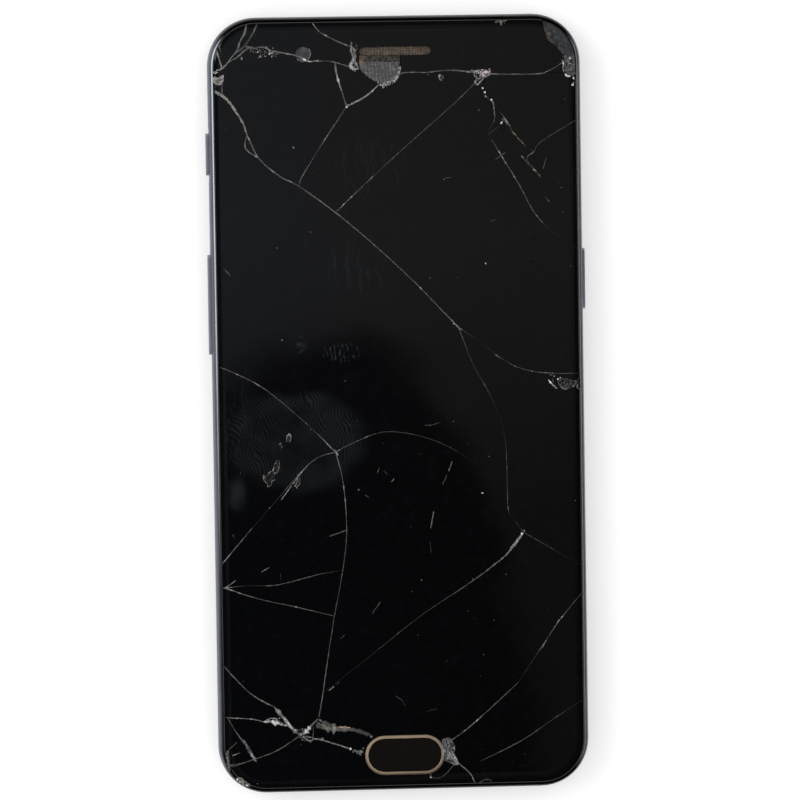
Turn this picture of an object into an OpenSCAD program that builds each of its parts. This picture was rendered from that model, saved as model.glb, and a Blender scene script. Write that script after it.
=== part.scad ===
// Slim touch-screen phone of the 5.5-inch class with a shattered cover glass.
// It lies on its back: X to the right, Y to the top of the phone, Z out of the screen.
// The origin is under the middle of the body, on the plane of the flat back.

/* [Body] */
// Width of the housing without its side keys
body_w = 74.1; // [61:0.1:90]
// Length of the housing
body_l = 154.2; // [128:0.1:186]
// Thickness from the flat back to the face of the glass
body_t = 7.25; // [7:0.05:9]
// Radius of the four corners seen from the front
corner_r = 9.6; // [8:0.1:12]
// Height of the widest line of the side above the back
widest_z = 3.9; // [3.7:0.05:4.2]
// Width of the curve between the flat back and the side
back_curve = 7; // [6:0.1:7.6]
// How far the side leans in from its widest line to its lip
lip_lean = 0.72; // [0.5:0.02:0.8]
// Thickness of the side wall at its widest line
wall_t = 1.9; // [1.7:0.05:2.1]
// Thickness of the flat back
back_t = 0.85; // [0.7:0.05:0.9]
// Thickness of the lip round the screen well
lip_t = 1; // [0.9:0.02:1.1]
// Depth of the screen well under the face of the glass
well_d = 2.25; // [2.2:0.05:2.4]

/* [Screen] */
// Thickness of the cover glass
glass_t = 0.75; // [0.6:0.05:0.9]
// Distance of the glass edge from the outline of the body
glass_inset = 1.06; // [1.04:0.01:1.3]
// Width of the curved edge of the glass
glass_curve = 2.2; // [1.5:0.1:2.4]
// Height of the straight part of the glass edge
glass_land = 0.35; // [0.2:0.05:0.45]
// Width of the cracks
crack_gap = 0.1; // [0.06:0.01:0.16]
// Thickness of the adhesive gasket under the glass
gasket_t = 0.15; // [0.1:0.01:0.2]
// Thickness of the plate of the middle frame
plate_t = 0.5; // [0.4:0.05:0.6]
// Distance of the top edge of the display from the top of the body
display_top = 15.6; // [14:0.1:18]
// Distance of the bottom edge of the display from the bottom of the body
display_bottom = 12.6; // [12.2:0.1:14]

/* [Home button and earpiece] */
// Length of the home button ring
home_len = 15.9; // [14:0.1:18]
// Height of the home button ring
home_h = 7.9; // [7:0.1:8]
// Width of the home button ring seen from the front
home_ring_t = 0.6; // [0.4:0.05:0.9]
// Distance of the middle of the home button from the bottom of the body
home_up = 7.2; // [7:0.05:7.6]
// Length of the earpiece slot
earpiece_len = 14.2; // [10:0.1:18]
// Height of the earpiece slot
earpiece_h = 1.65; // [1.2:0.05:2]
// Distance of the earpiece and the front camera from the top of the body
earpiece_down = 7; // [6.8:0.05:7.2]
// Distance of the front camera from the middle
front_camera_x = 18; // [16:0.1:20]

/* [Side keys] */
// Height of the side keys
key_h = 1.8; // [1.5:0.05:2]
// Height of the middle of the side keys above the back
key_z = 3.6; // [3.5:0.05:3.8]
// How far the side keys stand proud
key_proud = 0.5; // [0.35:0.05:0.8]
// Gap round each key in its slot
key_gap = 0.1; // [0.06:0.01:0.15]
// Length of the alert slider
slider_len = 8.3; // [7:0.1:10]
// Whole travel of the alert slider
slider_travel = 2.8; // [2:0.1:3.2]
// Distance of the middle of the alert slider from the top of the body
slider_down = 26.9; // [26:0.1:28]
// Length of the volume rocker
rocker_len = 19.8; // [16:0.1:24]
// Distance of the middle of the volume rocker from the top of the body
rocker_down = 56.7; // [54:0.1:60]
// Length of the power button
power_len = 12.1; // [10:0.1:15]
// Distance of the middle of the power button from the top of the body
power_down = 52.75; // [51:0.05:60]
// Travel of the power button
power_travel = 0.3; // [0.2:0.05:0.4]

/* [SIM tray] */
// Length of the face of the tray
sim_face_len = 15.5; // [15:0.1:17]
// Height of the face of the tray
sim_face_h = 1.7; // [1.5:0.05:1.8]
// Distance of the middle of the tray from the top of the body
sim_down = 33.1; // [32.5:0.1:34]
// Depth of the tray from the outline of the body
sim_depth = 18.2; // [17:0.1:19]

/* [Sockets] */
// Height of the middle of the sockets above the back
port_z = 3.2; // [3.1:0.05:3.3]
// Radius of the headphone socket's bore
jack_r = 1.8; // [1.76:0.01:1.85]
// Depth of the headphone socket's bore
jack_depth = 14; // [13.5:0.1:15]
// Distance of the headphone socket from the middle
jack_x = 22; // [21:0.1:23]
// Length of the opening of the USB socket
usb_len = 8.34; // [8.3:0.01:8.4]
// Height of the opening of the USB socket
usb_h = 2.56; // [2.5:0.01:2.6]

/* [Inside] */
// Length of the upper part that holds the main board
board_zone = 50; // [49:0.5:52]
// Length of the lower part that holds the lower board
lower_zone = 33; // [32:0.5:34]
// Width of the side channels beside the battery
side_zone = 7.05; // [6.9:0.05:7.4]
// Height of the boards above the back
board_z = 1.75; // [1.7:0.05:1.8]
// Thickness of the boards
board_t = 0.8; // [0.6:0.05:0.9]
// Radius of the rear camera's bezel
camera_r = 4.6; // [4.2:0.1:5]
// Gap between the rear camera's bezel and the upper antenna strip
camera_gap = 1; // [0.5:0.1:1.5]
// Distance between the rear camera and the flash
flash_gap = 9; // [8.5:0.1:10]

/* [Hidden] */
$fn = 48;
eps = 0.01;
past = 1;             // how far a cutting shape runs past what it cuts

half_w = body_w / 2;
half_l = body_l / 2;

// Heights of the stack, from the glass down
glass_z = body_t - glass_t;
rim_z = glass_z - gasket_t;
ledge_z = body_t - well_d;
plate_z = ledge_z + plate_t;
lip_down = 0.55;      // how far the lip lies under the face of the glass
lip_z = body_t - lip_down;
board_top = board_z + board_t;
screen_play = 0.05;   // gap between stacked screen parts
rim_in = 2.1;         // inner edge of the middle frame's rim, from the outline
frame_in = lip_t + 0.05;
display_in = rim_in + 0.2;

// Places along the length
home_y = -half_l + home_up;
ear_y = half_l - earpiece_down;
band_w = 1.2;         // inlaid antenna strips, placed just clear of the rounded corners
band_y = half_l - corner_r - band_w / 2 - 0.4;
camera_y = band_y - band_w / 2 - camera_gap - camera_r;
flash_y = camera_y - flash_gap;
sim_y = half_l - sim_down;
main_y0 = half_l - board_zone;
main_y1 = half_l - 3.6;
lower_y0 = -half_l + 6.2;
lower_y1 = -half_l + lower_zone - 3;
battery_y0 = -half_l + lower_zone;
battery_y1 = main_y0 - 1.5;
battery_x = half_w - side_zone;
battery_z1 = ledge_z - 0.45;
board_x = half_w - 5.65;
board_corner = corner_r - 5.6;

// Side key mechanics, as distances in from the outline
flange_t = 0.6;
flange_over = 0.6;    // how far a flange reaches past its key lengthwise
press_gap = 0.1;      // gap between a pressed key's flange and the wall
rock_gap = 0.4;       // the same for the rocker, whose ends swing out
switch_gap = power_travel + 0.1; // gap between a flange and its switch
pocket_d = 2.6;       // depth of the pocket behind the wall
pocket_end = 0.3;     // gap past each end of the flange
pocket_side = 0.45;   // how far the pocket reaches above and below its key
flange_side = 0.25;   // the same for the flange
power_switch_in = wall_t + press_gap + flange_t + switch_gap;
rocker_switch_in = wall_t + rock_gap + flange_t + switch_gap;

// Screws of the main board: [x, y, true where it also holds the antenna bracket]
screw_r = 0.5;
screw_head_r = 1.2;
board_screw_places = [
    for (s = [-1, 1]) [s * (board_x - 3), main_y0 + 3, false],
    for (s = [-1, 1]) [s * (board_x - 3), half_l - 8.1, true],
    for (s = [-1, 1]) [s * 9.5, half_l - 19, true],
    for (s = [-1, 1]) [s * 9.5, half_l - 37, false]
];
bottom_screw_x = 8;
bottom_head_in = 0.9; // depth of the bottom screws' heads from the outline

// Cracks, each a line of points in percent of the glass's half width and half length.
// Points past 100 lie outside the glass, so that the crack runs out through its edge.
shoulder_crack = [[-103, 85], [-100, 83], [-90.5, 79], [-84, 74], [-82, 71], [-76, 65],
    [-64, 60], [-54, 57.5], [-34, 50.5], [-12, 41.5], [8, 32.5], [22, 25.5], [33, 20]];
cracks = [
    shoulder_crack,
    [[-82, 71], [-83, 67.5], [-76, 65]],
    // down and across from the middle of the right half
    [[33, 20], [41, 10], [48, 4], [55, -3.5], [58.5, -12], [59, -27], [61.5, -30], [67.5, -34]],
    [[33, 20], [45, 16], [64, 9.5], [84, 7.5], [103, 7.5]],
    // triangle under the earpiece
    [[-33, 89.5], [-32, 86], [-27, 78]],
    [[-27, 78], [-16.5, 80.5], [-9, 83.5]],
    [[-27, 78], [-42, 67.5], [-52, 60], [-54, 57.5]],
    [[-49, 103], [-42.5, 98], [-34, 95.5], [-26, 93.8], [-22.5, 93], [-22, 90], [-20, 87.5]],
    [[-22.5, 93], [-18, 92.5]],
    // along the top, from the left edge to the broken corner
    [[-94.5, 88.5], [-85, 91.5], [-81, 93], [-68, 93], [-54.5, 91], [-44, 90], [-33, 89.5],
     [-20, 87.5], [-9, 83.5], [0, 84.5], [4, 86.5], [17, 86.5], [31, 87], [49, 86],
     [66, 85.5], [86, 86], [94, 86]],
    // top left corner
    [[-81, 103], [-82, 96.5], [-87, 93], [-94.5, 88.5], [-103, 87]],
    [[-75.5, 103], [-79, 96.5], [-81, 93]],
    [[-98, 96], [-96.5, 91], [-94.5, 88.5]],
    // from the top right impact to the shoulder crack, and down the right side
    [[49, 86], [34, 79], [13, 70.5], [-10, 61], [-34, 50.5]],
    [[49, 86], [49.5, 80.5], [54, 77], [54.5, 74], [51.5, 70.5], [57.5, 65], [67, 57.5],
     [76, 49.5], [86, 44.5], [103, 39]],
    [[49.5, 80.5], [64, 71], [73, 66.5], [76.5, 65.5]],
    [[76.5, 65.5], [72, 63.5], [80, 59]],
    [[103, 74.5], [80, 68], [76.5, 65.5]],
    // star at the left of the middle
    [[-103, 11.5], [-90.5, 9], [-73.5, 4.5], [-50.5, -5], [-36, -12]],
    [[-36, -12], [-46.5, -13.5], [-56, -17.5], [-74, -27], [-92, -36.5], [-103, -42.5]],
    [[-36, -12], [-27.5, -10], [-10, -7], [9, -8], [28, -11.5], [43.5, -16.5]],
    [[-36, -12], [-32, -20], [-30.5, -32.5], [-33, -43], [-38, -55], [-41, -63], [-45, -75],
     [-47.5, -81.5]],
    [[-30.5, -32.5], [-40, -34]],
    // fan on the left edge
    [[-103, -47], [-98, -47], [-87, -46.5], [-69.5, -46.5], [-47, -44], [-33, -43]],
    [[-98, -47], [-92, -45]],
    [[-98, -47], [-80, -50], [-58, -52.5], [-38, -55]],
    // lower right
    [[67.5, -34], [57.5, -40], [37.5, -47], [12.5, -54.5], [-10, -62.5], [-27.5, -69],
     [-45, -75]],
    [[67.5, -34], [85, -39], [103, -44]],
    [[103, -48.5], [87.5, -57], [76.5, -64.5], [63.5, -73.5]],
    [[63.5, -73.5], [47, -80.5], [34.5, -85.5], [24, -89], [20, -91]],
    [[103, -77.5], [84, -83], [64.5, -89], [42, -94]],
    [[24, -89], [26.5, -91.5], [28.5, -94], [36.5, -97.5], [41, -103]],
    [[28.5, -94], [20.5, -98], [14, -98]],
    // lower left
    [[-103, -65.5], [-86, -74.5], [-72, -78.5], [-63.5, -84], [-57.5, -86]],
    [[-103, -80], [-98, -81], [-85, -81.5], [-71, -83], [-63.5, -84]],
    [[-98, -81], [-92.5, -85.5], [-83, -92]],
    [[-57.5, -86], [-71, -90], [-83, -92], [-103, -95]],
    [[-57.5, -86], [-50.5, -83], [-47.5, -81.5]],
    [[-57.5, -86], [-51, -87.5], [-42.5, -88], [-20, -91.5]],
    [[-47.5, -81.5], [-38.5, -84], [-28.5, -85], [-16, -88]],
    [[-50.5, -83], [-51, -87.5]],
    [[-101, -91], [-93, -87.5]]
];
// Glass that is gone: the top right corner, the piece under the left half of the earpiece,
// a bite of the top edge and chips of the left and right edges
lost_corner = [[80, 104], [82.5, 97.5], [84.5, 94.5], [89.5, 92.5], [92.5, 91], [92.5, 88.5],
    [94, 86], [99, 84.5], [104, 83], [104, 104]];
lost_chips = [
    [[-19.5, 92], [-20, 87.5], [-15.5, 85.8], [-9, 83.5], [-4.5, 83.8], [0, 84.5], [2, 85.6],
     [3.5, 87.5], [3, 89.5], [4, 92]],
    [[55, 103], [56, 99.6], [58.5, 99.2], [61, 99.7], [62, 103]],
    [[-103, 88], [-99, 87.4], [-98.2, 85.6], [-97.5, 84.2], [-98.8, 82.9], [-103, 82.6]],
    [[103, 6], [98.6, 6.2], [97.8, 4.8], [98.9, 3.6], [103, 3.4]]
];
crack_steps = 3;

// ---------------------------------------------------------------- shape helpers
function stadium_points(len, high, n = 12) = [
    for (side = [0, 1], i = [0:n])
        let (a = -90 + 180 * side + 180 * i / n, c = (len - high) / 2 * (1 - 2 * side))
            [c + high / 2 * cos(a), high / 2 * sin(a)]
];

function round_rect_points(w, l, r, n = 8) = [
    for (q = [0:3], i = [0:n])
        let (a = 90 * q + 90 * i / n, sx = q == 0 || q == 3 ? 1 : -1, sy = q < 2 ? 1 : -1)
            [sx * (w / 2 - r) + r * cos(a), sy * (l / 2 - r) + r * sin(a)]
];

function curve_point(a, b, c, d, t) =
    b + (c - a) * t / 2 + (2 * a - 5 * b + 4 * c - d) * t * t / 2
    + (3 * b - a - 3 * c + d) * t * t * t / 2;

function smooth_line(p) = [
    for (i = [0:len(p) - 2], j = [0:crack_steps - 1])
        curve_point(p[max(i - 1, 0)], p[i], p[i + 1], p[min(i + 2, len(p) - 1)], j / crack_steps),
    p[len(p) - 1]
];

function across(q, i) =
    let (d = q[min(i + 1, len(q) - 1)] - q[max(i - 1, 0)]) [-d[1], d[0]] / norm(d);

function strip_points(q, w) = concat(
    [for (i = [0:len(q) - 1]) q[i] + across(q, i) * w / 2],
    [for (i = [len(q) - 1:-1:0]) q[i] - across(q, i) * w / 2]);

function on_glass(p) = [p[0] * (half_w - glass_inset) / 100, p[1] * (half_l - glass_inset) / 100];

// A rounded slab from its edge profile: points [distance in from the outline, height],
// from the bottom to the top
module rounded_slab(w, l, r, edge) {
    n = len(edge);
    rotate([90, 0, 0])
        translate([0, 0, -(l / 2 - r)]) linear_extrude(l - 2 * r)
            polygon(concat([for (p = edge) [w / 2 - p[0], p[1]]],
                           [for (i = [n - 1:-1:0]) [edge[i][0] - w / 2, edge[i][1]]]));
    for (s = [0, 1]) mirror([0, s, 0]) rotate([90, 0, 90])
        translate([0, 0, -(w / 2 - r)]) linear_extrude(w - 2 * r)
            polygon(concat([[l / 2 - r, edge[0][1]]], [for (p = edge) [l / 2 - p[0], p[1]]],
                           [[l / 2 - r, edge[n - 1][1]]]));
    for (q = [0:3]) {
        sx = q == 0 || q == 3 ? 1 : -1;
        sy = q < 2 ? 1 : -1;
        translate([sx * (w / 2 - r), sy * (l / 2 - r), 0]) rotate([0, 0, 90 * q])
            rotate_extrude(angle = 90)
                polygon(concat([[0, edge[0][1]]], [for (p = edge) [r - p[0], p[1]]],
                               [[0, edge[n - 1][1]]]));
    }
}

// The outline of the body moved in by d, as a straight-sided slab
module inset_slab(d, z0, z1) {
    rounded_slab(body_w - 2 * d, body_l - 2 * d, corner_r - d, [[0, z0], [0, z1]]);
}

module plate(points, z0, z1) {
    translate([0, 0, z0]) linear_extrude(z1 - z0) polygon(points);
}

// A block from its lowest corner to its highest corner
module block(a, b) {
    translate(a) cube(b - a);
}

// A stadium or outline given as points [y, z], pushed along X between two places
module along_x(points, x0, x1) {
    translate([x0, 0, 0]) rotate([90, 0, 90]) linear_extrude(x1 - x0) polygon(points);
}

// An outline given as points [x, z], pushed along Y between two places
module along_y(points, y0, y1) {
    translate([0, y1, 0]) rotate([90, 0, 0]) linear_extrude(y1 - y0) polygon(points);
}

module rod_y(r, x, z, y0, y1) {
    translate([x, y1, z]) rotate([90, 0, 0]) cylinder(r = r, h = y1 - y0);
}

function moved(points, d) = [for (p = points) p + d];

// ---------------------------------------------------------------- housing
arc_steps = 14;
lip_steps = 6;
outer_edge = concat(
    [for (i = [0:arc_steps]) let (a = 90 * i / arc_steps)
        [back_curve * (1 - sin(a)), widest_z * (1 - cos(a))]],
    [for (i = [1:lip_steps]) let (a = 90 * i / lip_steps)
        [lip_lean * (1 - cos(a)), widest_z + (lip_z - widest_z) * sin(a)]]);
inner_curve = back_curve - wall_t;
cavity_edge = concat(
    [for (i = [0:arc_steps]) let (a = 90 * i / arc_steps)
        [inner_curve * (1 - sin(a)), back_t + (widest_z - back_t) * (1 - cos(a))]],
    [[0, ledge_z + eps]]);

// Half the room's width at a height z and a distance up from the end, inside a rounded corner
function room_x(up, z) =
    let (a = acos(1 - (z - back_t) / (widest_z - back_t)),
         r = corner_r - wall_t - inner_curve * (1 - sin(a)),
         d = max(corner_r - up, 0))
    half_w - corner_r + sqrt(r * r - d * d);

module outer_body() {
    rounded_slab(body_w, body_l, corner_r, outer_edge);
}

module cavity() {
    rounded_slab(body_w - 2 * wall_t, body_l - 2 * wall_t, corner_r - wall_t, cavity_edge);
}

// The opening in the wall and the pocket behind it for a side key on the right side that
// slides lengthwise by the given travel
module key_opening(y, len, travel) {
    along_x(moved(stadium_points(len + travel + 2 * key_gap, key_h + 2 * key_gap), [y, key_z]),
            half_w - wall_t - past, half_w + past);
    pocket_l = len + travel + 2 * (flange_over + pocket_end);
    block([half_w - wall_t - pocket_d, y - pocket_l / 2, key_z - key_h / 2 - pocket_side],
          [half_w - wall_t, y + pocket_l / 2, key_z + key_h / 2 + pocket_side]);
}

// A side key on the right side with the flange that keeps it in its slot
module side_key(y, len, gap) {
    flange_x1 = half_w - wall_t - gap;
    along_x(moved(stadium_points(len, key_h), [y, key_z]), flange_x1 - flange_t / 2,
            half_w + key_proud);
    block([flange_x1 - flange_t, y - len / 2 - flange_over, key_z - key_h / 2 - flange_side],
          [flange_x1, y + len / 2 + flange_over, key_z + key_h / 2 + flange_side]);
}

rocker_y = half_l - rocker_down;
slider_y = half_l - slider_down;
power_y = half_l - power_down;

sim_z = 3.55;
sim_gap = 0.1;
sim_face_t = 1.4;     // from the outline in to the back of the tray's face
sim_plate_t = 0.8;
sim_plate_w = sim_face_len - 3.1;
eject_r = 0.45;
eject_y = sim_y + sim_face_len / 2 - sim_face_h / 2;

module sim_opening() {
    along_x(moved(stadium_points(sim_face_len + 2 * sim_gap, sim_face_h + 2 * sim_gap),
                  [sim_y, sim_z]), half_w - sim_face_t - sim_gap, half_w + past);
    block([half_w - wall_t - past, sim_y - sim_plate_w / 2 - sim_gap,
           sim_z - sim_plate_t / 2 - sim_gap],
          [half_w - 0.5, sim_y + sim_plate_w / 2 + sim_gap, sim_z + sim_plate_t / 2 + sim_gap]);
    // way for the pin that pushes the eject rod
    translate([half_w - wall_t - past, eject_y, sim_z]) rotate([0, 90, 0])
        cylinder(r = eject_r + 0.05, h = 2 * past);
}

usb_shell_t = 0.3;
usb_front_in = 1.35;  // the socket's mouth, from the outline
usb_back_in = 8.2;
jack_nose_r = jack_r + 0.25;
jack_nose_in = 1.9;
jack_body_in = 5;
speaker_x0 = 11;
speaker_x1 = 30;
speaker_hole_r = 0.55;
speaker_holes = 8;
speaker_pitch = 2;
speaker_first = speaker_x0 + 1.5;
nozzle_x = [speaker_x0 + 0.6, speaker_first + speaker_pitch * speaker_holes - 1];
nozzle_h = 1.8;
wall_out = 4;         // where holes through the end walls come out inside
mic_x = -12;
mic_r = 0.4;
top_mic_x = 9;

module bottom_openings() {
    usb_outer = stadium_points(usb_len + 2 * usb_shell_t + 0.2, usb_h + 2 * usb_shell_t + 0.2);
    along_y(moved(usb_outer, [0, port_z]), -half_l - past, -half_l + wall_t + 4);
    rod_y(jack_nose_r + 0.1, -jack_x, port_z, -half_l - past, -half_l + jack_body_in + 0.1);
    for (i = [0:speaker_holes - 1])
        rod_y(speaker_hole_r, speaker_first + speaker_pitch * i, port_z, -half_l - past,
              -half_l + wall_out);
    rod_y(mic_r, mic_x, port_z, -half_l - past, -half_l + wall_out);
    for (s = [-1, 1]) {
        rod_y(screw_r + 0.1, s * bottom_screw_x, port_z, -half_l - past, -half_l + wall_out);
        rod_y(1, s * bottom_screw_x, port_z, -half_l - past, -half_l + bottom_head_in + 0.6);
    }
}

module screw_bosses() {
    for (p = board_screw_places)
        translate([p[0], p[1], back_t - 0.3]) cylinder(r = 1.4, h = board_z - back_t + 0.3);
}

module screw_bores() {
    for (p = board_screw_places)
        translate([p[0], p[1], 0.5]) cylinder(r = screw_r + 0.05, h = board_z);
}

// Inlaid strip that follows the back and the lower sides
band_t = 0.5;
band_z = 2.9;
module antenna_band(y) {
    outer = [for (p = outer_edge) if (p[1] < band_z) [half_w - p[0], p[1]]];
    inner = [for (i = [0:arc_steps]) let (a = 90 * i / arc_steps,
        z = band_t + (widest_z - band_t) * (1 - cos(a))) if (z < band_z)
            [half_w - band_t - (back_curve - band_t) * (1 - sin(a)), z]];
    n = len(outer);
    m = len(inner);
    along_y(concat(outer, [for (i = [m - 1:-1:0]) inner[i]],
                   [for (p = inner) [-p[0], p[1]]],
                   [for (i = [n - 1:-1:0]) [-outer[i][0], outer[i][1]]]),
            y - band_w / 2, y + band_w / 2);
}

module rear_housing() {
    color([0.36, 0.38, 0.44]) difference() {
        union() {
            difference() {
                outer_body();
                cavity();
                inset_slab(lip_t, ledge_z, body_t + past);
            }
            screw_bosses();
        }
        screw_bores();
        key_opening(power_y, power_len, 0);
        mirror([1, 0, 0]) key_opening(rocker_y, rocker_len, 0);
        mirror([1, 0, 0]) key_opening(slider_y, slider_len, slider_travel);
        sim_opening();
        bottom_openings();
        rod_y(mic_r, top_mic_x, port_z, half_l - wall_out, half_l + past);
        translate([0, camera_y, -past]) cylinder(r = camera_r + 0.05, h = 3);
        translate([0, flash_y, -past]) cylinder(r = 2.05, h = 3);
        antenna_band(band_y);
        antenna_band(-band_y);
    }
}

module antenna_band_top() {
    color([0.27, 0.28, 0.31]) antenna_band(band_y);
}

module antenna_band_bottom() {
    color([0.27, 0.28, 0.31]) antenna_band(-band_y);
}

// ---------------------------------------------------------------- screen
glass_edge = concat(
    [[0, glass_z], [0, glass_z + glass_land]],
    [for (i = [1:5]) let (a = 18 * i)
        [glass_curve * (1 - cos(a)), glass_z + glass_land + (glass_t - glass_land) * sin(a)]]);

module cover_glass() {
    color([0.05, 0.05, 0.06]) difference() {
        rounded_slab(body_w - 2 * glass_inset, body_l - 2 * glass_inset, corner_r - glass_inset,
                     glass_edge);
        plate(moved(stadium_points(home_len + 0.2, home_h + 0.2, 24), [0, home_y]),
              glass_z - past, body_t + past);
        plate(moved(stadium_points(earpiece_len + 0.1, earpiece_h + 0.1), [0, ear_y]),
              glass_z - past, body_t + past);
        for (c = cracks)
            plate(strip_points(smooth_line([for (p = c) on_glass(p)]), crack_gap),
                  glass_z - past, body_t + past);
        for (c = concat([lost_corner], lost_chips))
            plate([for (p = c) on_glass(p)], glass_z - past, body_t + past);
    }
}

module display_panel() {
    y0 = -half_l + display_bottom;
    y1 = half_l - display_top;
    color([0.02, 0.02, 0.03]) difference() {
        plate(moved(round_rect_points(body_w - 2 * display_in, y1 - y0, 1), [0, (y0 + y1) / 2]),
              plate_z + screen_play, glass_z);
        // step of the driver edge along the bottom
        block([-half_w, y0 - past, plate_z - past],
              [half_w, y0 + 2.5, plate_z + screen_play + 0.4]);
    }
}

module display_gasket() {
    color([0.08, 0.08, 0.08]) difference() {
        inset_slab(glass_inset + 0.1, rim_z, glass_z);
        inset_slab(rim_in - 0.05, rim_z - past, glass_z + past);
    }
}

home_flange = 0.55;   // how far the ring's flange reaches under the glass
module home_ring() {
    inner = [home_len - 2 * home_ring_t, home_h - 2 * home_ring_t];
    color([0.52, 0.44, 0.36]) difference() {
        union() {
            plate(moved(stadium_points(home_len, home_h, 24), [0, home_y]), plate_z, body_t - 0.02);
            plate(moved(stadium_points(home_len + 2 * home_flange, home_h + 2 * home_flange, 24),
                        [0, home_y]), plate_z, glass_z - 0.05);
        }
        plate(moved(stadium_points(inner[0], inner[1], 24), [0, home_y]),
              plate_z - past, body_t + past);
    }
}

cap_play = 0.05;
cap_z = body_t - 0.2;
cap_t = 1.05;
module home_cap() {
    color([0.07, 0.05, 0.05])
        plate(moved(stadium_points(home_len - 2 * home_ring_t - 2 * cap_play,
                                   home_h - 2 * home_ring_t - 2 * cap_play, 24), [0, home_y]),
              cap_z - cap_t, cap_z);
}

sensor_len = 11.5;
sensor_h = 4.6;
module fingerprint_sensor() {
    color([0.1, 0.25, 0.15])
        plate(moved(stadium_points(sensor_len, sensor_h), [0, home_y]),
              ledge_z + 0.05, cap_z - cap_t);
}

module earpiece_mesh() {
    color([0.32, 0.29, 0.25]) {
        plate(moved(stadium_points(earpiece_len, earpiece_h), [0, ear_y]),
              glass_z - 0.05, body_t - 0.3);
        plate(moved(stadium_points(earpiece_len + 1, earpiece_h + 0.8), [0, ear_y]),
              glass_z - 0.25, glass_z - 0.05);
    }
}

// ---------------------------------------------------------------- middle frame
neck_len = 11;
neck_h = 1.4;
prox_x = 13;
led_x = -11.5;
flex_slot = [-19, -10];          // the display flex's slot across the plate
flex_slot_y = -half_l + 18;
tab_y0 = -half_l + 3.3;
tab_t = 2.5;
module mid_frame() {
    color([0.2, 0.21, 0.24]) difference() {
        union() {
            difference() {
                inset_slab(frame_in, ledge_z, rim_z);
                inset_slab(rim_in, plate_z, rim_z + past);
            }
            // tabs that take the two bottom screws
            for (s = [-1, 1])
                block([s * bottom_screw_x - 1.4, tab_y0, 2.05],
                      [s * bottom_screw_x + 1.4, tab_y0 + tab_t, ledge_z + 0.2]);
        }
        for (s = [-1, 1])
            rod_y(screw_r + 0.05, s * bottom_screw_x, port_z, tab_y0 - past, tab_y0 + tab_t + past);
        plate(moved(stadium_points(sensor_len + 0.4, sensor_h + 0.4), [0, home_y]),
              ledge_z - past, plate_z + past);
        plate(moved(stadium_points(neck_len + 0.4, neck_h + 0.4), [0, ear_y]),
              ledge_z - past, plate_z + past);
        translate([-front_camera_x, ear_y, ledge_z - past]) cylinder(r = 2.8, h = 3);
        translate([led_x, ear_y, ledge_z - past]) cylinder(r = 0.9, h = 3);
        block([prox_x - 2.2, ear_y - 1.2, ledge_z - past],
              [prox_x + 2.2, ear_y + 1.2, plate_z + past]);
        block([flex_slot[0] - 0.4, flex_slot_y - 0.5, ledge_z - past],
              [flex_slot[1] + 0.4, flex_slot_y + 0.5, plate_z + past]);
        // trough for the headphone socket
        rod_y(jack_nose_r + 0.1, -jack_x, port_z, -half_l, -half_l + jack_body_in + 0.5);
        block([-jack_x - jack_w / 2 - 0.2, -half_l + jack_body_in - 0.2, ledge_z - past],
              [-jack_x + jack_w / 2 + 0.2, -half_l + jack_nose_in + jack_depth + 1.4,
               jack_top + 0.03]);
    }
}

// ---------------------------------------------------------------- top edge parts
module front_camera() {
    color([0.06, 0.06, 0.08]) difference() {
        union() {
            block([-front_camera_x - 3.3, ear_y - 3.3, board_top],
                  [-front_camera_x + 3.3, ear_y + 3.3, ledge_z - 0.05]);
            translate([-front_camera_x, ear_y, board_top])
                cylinder(r = 2.6, h = glass_z - screen_play - board_top);
        }
        // lens mouth
        translate([-front_camera_x, ear_y, glass_z - 0.6]) cylinder(r = 1.4, h = 1);
    }
}

module proximity_sensor() {
    color([0.12, 0.05, 0.08])
        block([prox_x - 2, ear_y - 1, board_top], [prox_x + 2, ear_y + 1, glass_z - screen_play]);
}

module status_led() {
    color([0.8, 0.8, 0.78])
        translate([led_x, ear_y, board_top])
            cylinder(r = 0.8, h = glass_z - screen_play - board_top);
}

ear_body_z = 1.9;
module earpiece_speaker() {
    color([0.25, 0.25, 0.27]) {
        block([-6.2, ear_y - 2.5, ear_body_z], [6.2, ear_y + 3.3, ledge_z - 0.3]);
        plate(moved(stadium_points(neck_len, neck_h), [0, ear_y]),
              ledge_z - 0.4, glass_z - 0.25);
    }
}

// ---------------------------------------------------------------- side keys
module alert_slider() {
    color([0.3, 0.31, 0.35]) mirror([1, 0, 0]) side_key(slider_y, slider_len, press_gap);
}

module volume_rocker() {
    color([0.36, 0.38, 0.44]) mirror([1, 0, 0]) side_key(rocker_y, rocker_len, rock_gap);
}

module power_button() {
    color([0.36, 0.38, 0.44]) side_key(power_y, power_len, press_gap);
}

// A switch on the right side whose face is a given distance in from the outline
module side_switch(y, len, face_in) {
    block([half_w - face_in - 1.3, y - len / 2, key_z - 1],
          [half_w - face_in - 0.25, y + len / 2, key_z + 1]);
    translate([half_w - face_in - 0.3, y, key_z]) rotate([0, 90, 0]) cylinder(r = 0.7, h = 0.3);
}

module switch_strip(y, len, face_in) {
    block([half_w - face_in - 1.5, y - len / 2, key_z - 1.1],
          [half_w - face_in - 1.3, y + len / 2, key_z + 1.1]);
}

module power_switch() {
    color([0.6, 0.6, 0.58]) {
        side_switch(power_y, 3.6, power_switch_in);
        switch_strip(power_y, 8, power_switch_in);
    }
}

module volume_switches() {
    color([0.6, 0.6, 0.58]) mirror([1, 0, 0]) {
        for (s = [-1, 1]) side_switch(rocker_y + s * rocker_len * 0.28, 3.6, rocker_switch_in);
        switch_strip(rocker_y, rocker_len - 3, rocker_switch_in);
    }
}

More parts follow.
